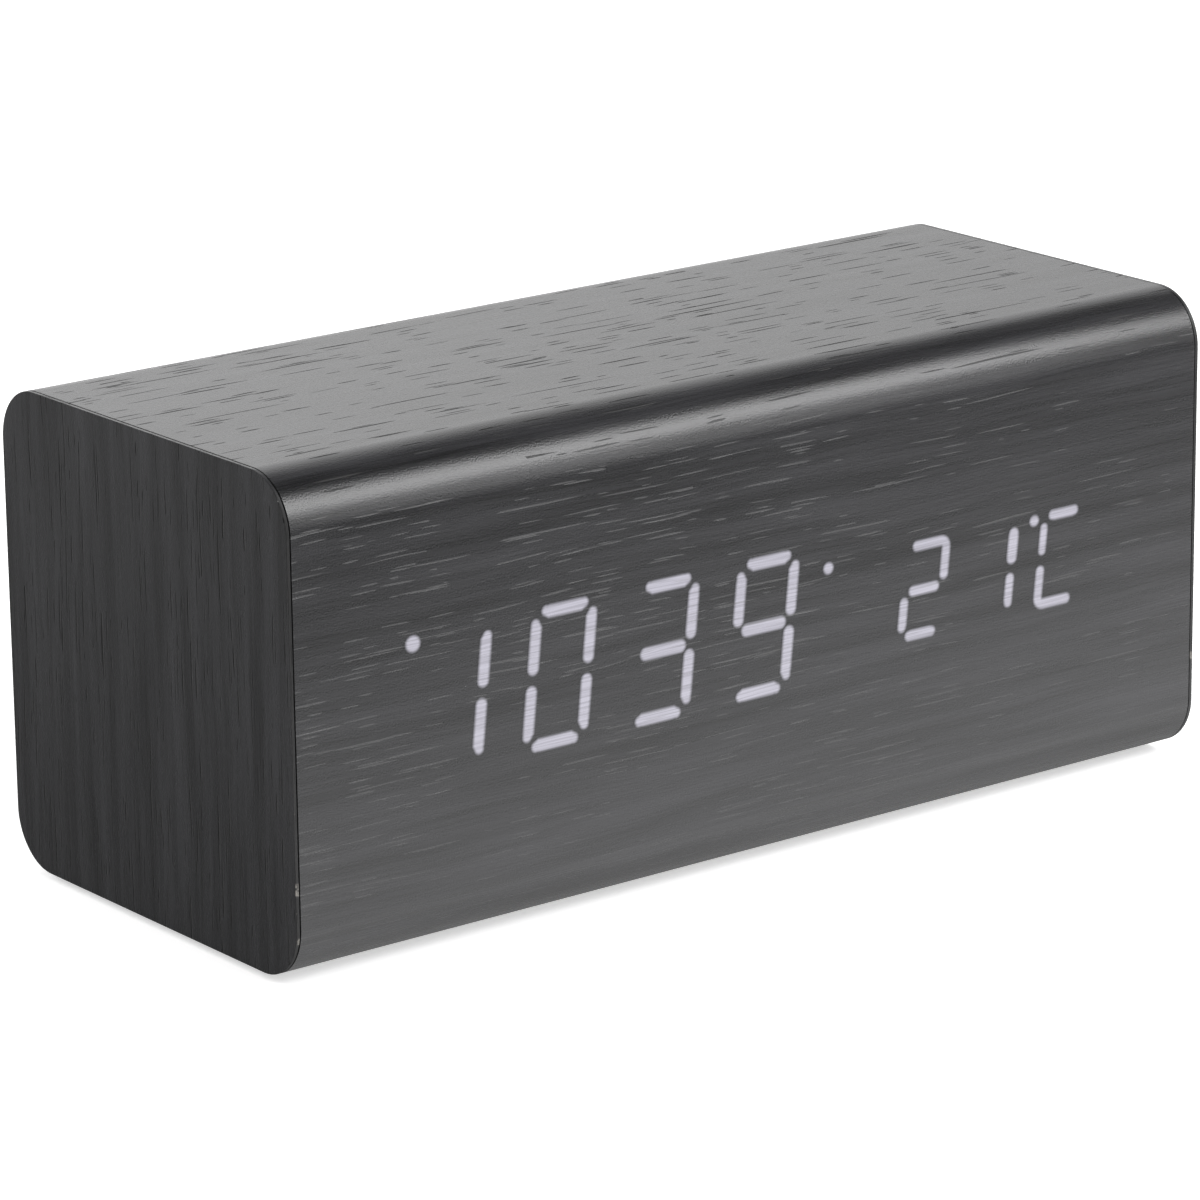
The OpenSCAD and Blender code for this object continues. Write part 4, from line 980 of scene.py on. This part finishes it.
def softened(node, width):
    """A copy of a solid with its sharp edges rounded and marked."""
    bm = bmesh.new()
    bm.from_mesh(nodes[node].data)
    bmesh.ops.remove_doubles(bm, verts=bm.verts, dist=MERGE_M)
    bmesh.ops.dissolve_limit(bm, angle_limit=math.radians(FLAT_ANGLE), verts=bm.verts, edges=bm.edges)
    edge = bm.faces.layers.float.new("edge")
    least = math.radians(SMOOTH_ANGLE)
    sharp = [e for e in bm.edges if len(e.link_faces) == 2 and e.calc_face_angle(0.0) > least]
    made = bmesh.ops.bevel(bm, geom=sharp, offset=width * MM, offset_type="OFFSET", segments=2,
                           profile=0.5, affect="EDGES", clamp_overlap=False)
    for face in made["faces"]:
        face[edge] = 1.0
    return plain(bm, node)


settle("back_panel", softened("rear_panel", 0.15), "panel_black", replaced=("rear_panel",))
settle("door", softened("battery_door", 0.18), "panel_black", "battery_cover", ("battery_door",))
settle("bay", softened("battery_bay", 0.12), "panel_black", replaced=("battery_bay",))
settle("socket_shell", softened("power_socket", 0.06), "bright_steel", replaced=("power_socket",))

# For each ring of a screw from the top of its head to its tip: radius and level
SCREW_RINGS = ((2.2, -0.02), (2.4, -0.06), (2.48, -0.2), (2.48, -1.18), (1.19, -1.18), (1.15, -7.1))
SCREW_MARKS = (1.0, 1.0, 0.0, 0.0, 0.0)
SCREW_SIDES = 40
# The cross at its lip and on its floor: reach, half width and level
CROSS_LIP, CROSS_FLOOR = (1.35, 0.34, -0.02), (1.0, 0.24, -0.68)
CROSS_HALF = 7
SCREW_X, SCREW_TOP_Y, SCREW_RISE = 58.8, 32.8, 18.5
SCREW_TURNS = [(0.0, turn, 0.0) for turn in (0.5, 1.2, 0.15, 0.85)]


def cross_screw():
    """A screw with a low head and a cross recess, its axis along Y and its top at Y = 0."""
    bm = bmesh.new()
    edge = bm.faces.layers.float.new("edge")

    def cross(reach, half, y):
        quarter = [(reach, -half), (reach, half), (half, half)]
        quarters = ((1, 0), (0, 1), (-1, 0), (0, -1))
        points = [(x * c - z * s, x * s + z * c) for c, s in quarters for x, z in quarter]
        points = [(reach, 0.0)] + points[1:7] + [(-reach, 0.0)] + points[7:] + points[:1]
        return ring(bm, [(x, y, z) for x, z in points])

    rings = [ring(bm, [(x, y, z) for x, z in circle(r, SCREW_SIDES)]) for r, y in SCREW_RINGS]
    lip, floor = cross(*CROSS_LIP), cross(*CROSS_FLOOR)
    top, half = rings[0], SCREW_SIDES // 2
    bm.faces.new(top[:half + 1] + lip[CROSS_HALF::-1])
    bm.faces.new(top[half:] + [top[0], lip[0]] + lip[:CROSS_HALF - 1:-1])
    for a, b, mark in zip(rings, rings[1:], SCREW_MARKS):
        for face in band(bm, a, b):
            face[edge] = mark
    band(bm, lip, floor)
    bm.faces.new(floor)
    bm.faces.new(rings[-1])
    return closed(bm, "cross_screw")


screw_spots = [Vector((sx * SCREW_X, SCREW_TOP_Y, MID_Z + sz * SCREW_RISE)) * MM
               for sx in (-1, 1) for sz in (-1, 1)]
settle_copies("back_screws", cross_screw(), screw_spots, "bright_steel", "panel_screws", SCREW_TURNS)

CAP_R, CAP_EDGE, FLANGE_R, FLANGE_T, STEM_R = 3.5, 0.4, 4.7, 1.0, 2.0
CAP_TOP_Y, FLANGE_TOP_Y, SIGN_LOW_Y = 33.4, 30.6, 33.2
DISH_R, DISH_RIM, DISH_DEPTH = 2.0, 0.06, 0.1
SIGN_SIDE, SIGN_SOFT, SIGN_TOP_SHARE = 3.15, 0.05, 0.94
BAR = ((-0.5, -0.13), (0.5, -0.13), (0.5, 0.13), (-0.5, 0.13))
ARROW = ((-0.5, -0.4), (0.5, -0.4), (0.0, 0.45))
SIGNS = {"set": BAR, "up": ARROW, "down": tuple((-x, -z) for x, z in ARROW)}
ALONG_Y = Matrix.Rotation(math.radians(-90), 4, "X")


def raised_sign(outline, top):
    """A low prism on an outline given in shares of the sign's side, with a softened top edge."""
    bm = bmesh.new()
    levels = ((SIGN_LOW_Y, 1.0), (top - SIGN_SOFT, 1.0), (top, SIGN_TOP_SHARE))
    loft(bm, [ring(bm, [(x * SIGN_SIDE * share, y, z * SIGN_SIDE * share) for x, z in outline])
              for y, share in levels])
    return closed(bm, "raised_sign")


def button_cap(key):
    """A dished cap with its flange and stem, and a raised sign on top."""
    low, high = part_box(f"{key}_button")
    flange_low = FLANGE_TOP_Y - FLANGE_T
    foot = [(0, low.y / MM), (STEM_R, low.y / MM), (STEM_R, flange_low), (FLANGE_R, flange_low),
            (FLANGE_R, FLANGE_TOP_Y), (CAP_R, FLANGE_TOP_Y)]
    rim = arc(CAP_R - CAP_EDGE, CAP_TOP_Y - CAP_EDGE, CAP_EDGE, 0, 90, 6)
    dish = [(DISH_R, CAP_TOP_Y - DISH_RIM), (0, CAP_TOP_Y - DISH_DEPTH)]
    rubbed = [0] * len(foot) + [1] * (len(rim) - 1) + [0] * len(dish)
    cap = turned(foot + rim + dish, 48, {"edge": rubbed})
    cap.transform(ALONG_Y)
    mesh = joined([cap, raised_sign(SIGNS[key], high.y / MM)])
    mesh.transform(Matrix.Translation(((low.x + high.x) / 2, 0.0, (low.z + high.z) / 2)))
    return mesh


for key in SIGNS:
    settle(f"{key}_cap", button_cap(key), "button_grey", f"{key}_key", (f"{key}_button",))

PAD_PROFILE = ((0, 0.02), (4.2, 0.0), (4.7, 0.06), (4.93, 0.25), (4.99, 0.5), (4.96, 1.0), (0, 1.0))
PAD_X, PAD_Y = 62, 19
pad_spots = [Vector((sx * PAD_X, sy * PAD_Y, 0)) * MM for sx in (-1, 1) for sy in (-1, 1)]
settle_copies("foot_pad_set", turned(PAD_PROFILE), pad_spots, "foot_foam", "foot_pads")

# A cell from its flat end to its button, and which of its bands are bare metal or printed dark
CELL_PROFILE = (
    (0, -20.32), (3.6, -20.32), (3.8, -20.2), (4.7, -20.2), (5.05, -20.05), (5.2, -19.7), (5.22, -19.0),
    (5.22, 15.0), (5.22, 21.6), (5.1, 22.3), (4.8, 22.6), (4.3, 22.7), (3.2, 22.75), (2.0, 22.9),
    (1.88, 23.2), (1.85, 23.8), (1.6, 24.1), (0, 24.16))
CELL_MARKS = {"bare": [1] * 4 + [0.2] + [0] * 6 + [1] * 6, "band": [0] * 7 + [1] * 4 + [0] * 6}
cell = turned(CELL_PROFILE, 48, CELL_MARKS)
cell.transform(Matrix.Rotation(math.radians(90), 4, "Y"))
cell_spots = [Vector((BAY_X, CELL_Y, z)) * MM for z in CELL_Z]
cell_turns = [(0.0, 0.0, 0.0), (0.0, math.pi, 0.0), (0.0, 0.0, 0.0)]
settle_copies("cell_set", cell, cell_spots, "cell_wrap", "battery_cells", cell_turns)


# Springs, wires and the heat sensor

COIL_X, COIL_LENGTH, COIL_TURNS = -23.975, 3.3, 3.5
COIL_R, COIL_TAPER, COIL_WIRE_R = 3.4, 1.2, 0.25
LEAD_R = 0.59
LEAD_BEND = 1.6
PLUS_LEAD = ((1.4, 24.95, 24.7), (1.4, 19.8, 24.7), (7.35, 19.8, 29.5), (7.35, 22.2, 29.5))
MINUS_LEAD = ((-53.05, 24.95, 46.3), (-53.05, 17.0, 46.3), (1.4, 17.0, 24.5), (7.35, 17.0, 24.5),
              (7.35, 22.2, 24.5))
BEAD_LEG_R, BEAD_LEG_X, BEAD_DROOP = 0.25, 0.6, 1.3


def wire(name, points, radius, sides, slot):
    """A round wire along points in millimetres."""
    path = bpy.data.meshes.new("path")
    steps = [(i, i + 1) for i in range(len(points) - 1)]
    path.from_pydata([tuple(Vector(p) * MM) for p in points], steps, [])
    return grown(name, path, WIRE, radius=radius * MM, sides=sides, finish=FINISHES[slot])


def coil_path(steps=160):
    """A coil that narrows away from its contact, about X."""
    points = []
    for i in range(steps + 1):
        t = i / steps
        r, a = COIL_R - COIL_TAPER * t, 2 * math.pi * COIL_TURNS * t
        points.append((COIL_X + COIL_LENGTH * t, r * math.cos(a), r * math.sin(a)))
    return points


def rounded_path(points, steps=8):
    """A path whose corners are turned into curves."""
    points = [Vector(p) for p in points]
    result = [points[0]]
    for a, b, c in zip(points, points[1:], points[2:]):
        cut = min(LEAD_BEND, (a - b).length * 0.45, (c - b).length * 0.45)
        start, end = b + (a - b).normalized() * cut, b + (c - b).normalized() * cut
        for k in range(steps + 1):
            t = k / steps
            result.append(start * (1 - t) ** 2 + b * 2 * t * (1 - t) + end * t * t)
    return result + [points[-1]]


def lead(points, minus):
    """An insulated wire, marked as plus or minus."""
    mesh = wire("lead", rounded_path(points), LEAD_R, 16, "lead_insulation")
    mark = mesh.attributes.new("minus", "FLOAT", "POINT")
    for item in mark.data:
        item.value = minus
    return mesh


def resin_bead():
    """The drop of resin round the heat sensor, longer towards the board, on its two legs."""
    low, high = (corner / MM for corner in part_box("thermistor"))
    middle = (low + high) / 2
    radius = (high.x - low.x) / 2
    centre_y = high.y - radius
    half_round = arc(0.0, 0.0, radius, -90, 90, 16)
    drop = turned([(r, h * BEAD_DROOP if h < 0 else h) for r, h in half_round], 32)
    drop.transform(ALONG_Y)
    drop.transform(Matrix.Translation(Vector((middle.x, centre_y, middle.z)) * MM))
    legs = []
    for x in (middle.x - BEAD_LEG_X, middle.x + BEAD_LEG_X):
        way = [(x, low.y, middle.z), (x, centre_y, middle.z)]
        legs.append(wire("bead_leg", way, BEAD_LEG_R, 12, "chip_black"))
    return joined([drop] + legs)


coil = wire("coil", coil_path(), COIL_WIRE_R, 12, "bright_steel")
settle_copies("contact_coils", coil, cell_spots, "bright_steel", "battery_springs", cell_turns)
leads = joined([lead(PLUS_LEAD, 0.0), lead(MINUS_LEAD, 1.0)])
settle("battery_wires", leads, "lead_insulation", replaced=("battery_leads",))
settle("heat_bead", resin_bead(), "chip_black", replaced=("thermistor",))

for subpart in frame["record"]["subparts"]:
    for held in nodes[subpart["node"]].material_slots:
        held.link = "OBJECT"
        held.material = FINISHES[subpart["material_slot"]]


# Stage, light and camera

FLOOR_HALF = 4.0
FLOOR_GREY = 0.8
FLOOR_GLOW = 0.56
STUDIO_LEVEL = 0.6
# For each lamp: place, target, size in metres, watts and whether the lacquer mirrors it
LAMPS = {
    "front softbox": ((0.36, -0.51, 0.48), (0.0, 0.0, 0.05), (0.56, 0.32), 4.7, True),
    "low front card": ((0.4, -0.61, 0.17), (0.0, 0.0, 0.05), (0.26, 0.22), 0.56, True),
    "overhead softbox": ((0.2, 0.3, 1.1), (0.0, 0.0, 0.0), (0.9, 0.9), 3.0, False),
    "back softbox": ((-0.45, 0.65, 0.5), (0.0, 0.0, 0.05), (0.5, 0.3), 3.0, True),
}
CAMERA_PLACE = (-485.409, -626.030, 262.855)
CAMERA_RIGHT = (0.79022225, -0.61272108, -0.01103087)
CAMERA_DOWN = (-0.18017409, -0.2150894, -0.95983011)
CAMERA_AHEAD = (0.58573552, 0.76046659, -0.2803649)
CAMERA_LENS, CAMERA_SENSOR = 174.28, 36.0


def stage_floor():
    """A white floor that keeps the shadow; the lacquer mirrors its own levels, in metres from the clock."""
    pale = bpy.data.materials.new("pale floor")
    pale.use_nodes = True
    w = Wiring(pale.node_tree)
    w.tree.nodes.clear()
    path = w.node("ShaderNodeLightPath").outputs
    x, y, _ = w.parts(w.node("ShaderNodeTexCoord").outputs["Object"])
    matt = w.node("ShaderNodeBsdfDiffuse", {"Color": grey(FLOOR_GREY)})
    seen = w.most(path["Is Camera Ray"], path["Is Transmission Ray"])
    glow = w.node("ShaderNodeEmission", {"Strength": w.times(seen, FLOOR_GLOW)})
    both = w.node("ShaderNodeAddShader", {0: matt.outputs[0], 1: glow.outputs[0]})
    # The lacquer mirrors painted levels of the floor: a painted shadow under the clock, a painted pool of
    # light in front of it that fades with distance, and lower levels behind it and to the left of it.
    beside = w.most(w.span(y, -0.042, -0.025, 1.0, 0.0), w.span(y, 0.027, 0.046, 0.0, 0.25))
    beside = w.most(beside, w.span(x, 0.085, 0.105, 0.0, 0.5))
    front = w.plus(w.span(y, -0.21, -0.13, 0.08, 1.5), w.span(y, -0.13, -0.05, 0.0, 0.6))
    front = w.times(front, beside)
    end = w.times(w.span(x, -0.2, -0.1, 0.4, 0.28), w.span(y, 0.0, 0.2, 0.8, 1.05))
    left = w.span(x, -0.082, -0.079, 1.0, 0.0)
    mirrored = w.math("MULTIPLY_ADD", w.minus(end, front), left, front)
    mirror = w.node("ShaderNodeEmission", {"Strength": mirrored})
    shaders = {1: both.outputs[0], 2: mirror.outputs[0]}
    mixed = w.node("ShaderNodeMixShader", {0: path["Is Glossy Ray"], **shaders})
    w.node("ShaderNodeOutputMaterial", {"Surface": mixed.outputs[0]})
    mesh = bpy.data.meshes.new("floor")
    corners = [(sx * FLOOR_HALF, sy * FLOOR_HALF, 0) for sx, sy in ((-1, -1), (1, -1), (1, 1), (-1, 1))]
    mesh.from_pydata(corners, [], [(0, 1, 2, 3)])
    mesh.materials.append(pale)
    object_of("floor", mesh)


def studio_world():
    """White behind the clock, dark overhead and to the left for what the lacquer mirrors."""
    world = bpy.data.worlds.new("studio")
    bpy.context.scene.world = world
    world.use_nodes = True
    w = Wiring(world.node_tree)
    w.tree.nodes.clear()
    path = w.node("ShaderNodeLightPath").outputs
    x, y, z = w.parts(w.node("ShaderNodeTexCoord").outputs["Generated"])
    height = w.plus(z, w.span(x, 0.5, 0.7, -0.085, 0.085))
    low_down = w.span(height, 0.57, 0.74, 1.45, 0.02, smooth=True)
    behind = w.span(y, -0.1, 0.3, 0.12, 1.0, smooth=True)
    sideways = w.minus(w.span(x, -0.45, 0.0, 0.2, 1.0, smooth=True), w.span(x, 0.5, 0.75, 0.0, 0.35))
    wall = w.times(w.times(low_down, behind), sideways)
    level = w.math("MULTIPLY_ADD", w.minus(wall, STUDIO_LEVEL), path["Is Glossy Ray"], STUDIO_LEVEL)
    level = w.most(level, w.most(path["Is Camera Ray"], path["Is Transmission Ray"]))
    back = w.node("ShaderNodeBackground", {"Color": grey(1.0), "Strength": level})
    w.node("ShaderNodeOutputWorld", {"Surface": back.outputs[0]})


def soft_lamp(name, place, target, size, watts, mirrored):
    """A rectangular lamp that faces its target and isn't seen itself."""
    lamp = bpy.data.lights.new(name, "AREA")
    lamp.shape = "RECTANGLE"
    lamp.size, lamp.size_y = size
    lamp.energy = watts
    holder = object_of(name, lamp)
    way = Vector(target) - Vector(place)
    holder.matrix_world = Matrix.Translation(place) @ way.to_track_quat("-Z", "Y").to_matrix().to_4x4()
    holder.visible_camera = False
    holder.visible_glossy = mirrored


def photo_camera():
    """The camera that was fitted to the edges of the block."""
    camera = bpy.data.cameras.new("camera")
    camera.sensor_width = CAMERA_SENSOR
    camera.lens = CAMERA_LENS
    camera.clip_start = 0.05
    holder = object_of("camera", camera)
    axes = Vector(CAMERA_RIGHT), -Vector(CAMERA_DOWN), -Vector(CAMERA_AHEAD)
    turn = Matrix(axes).transposed().to_4x4()
    holder.matrix_world = Matrix.Translation(Vector(CAMERA_PLACE) * MM) @ turn
    bpy.context.scene.camera = holder


stage_floor()
studio_world()
for name, light in LAMPS.items():
    soft_lamp(name, *light)
photo_camera()
bpy.context.scene.view_settings.view_transform = "Standard"
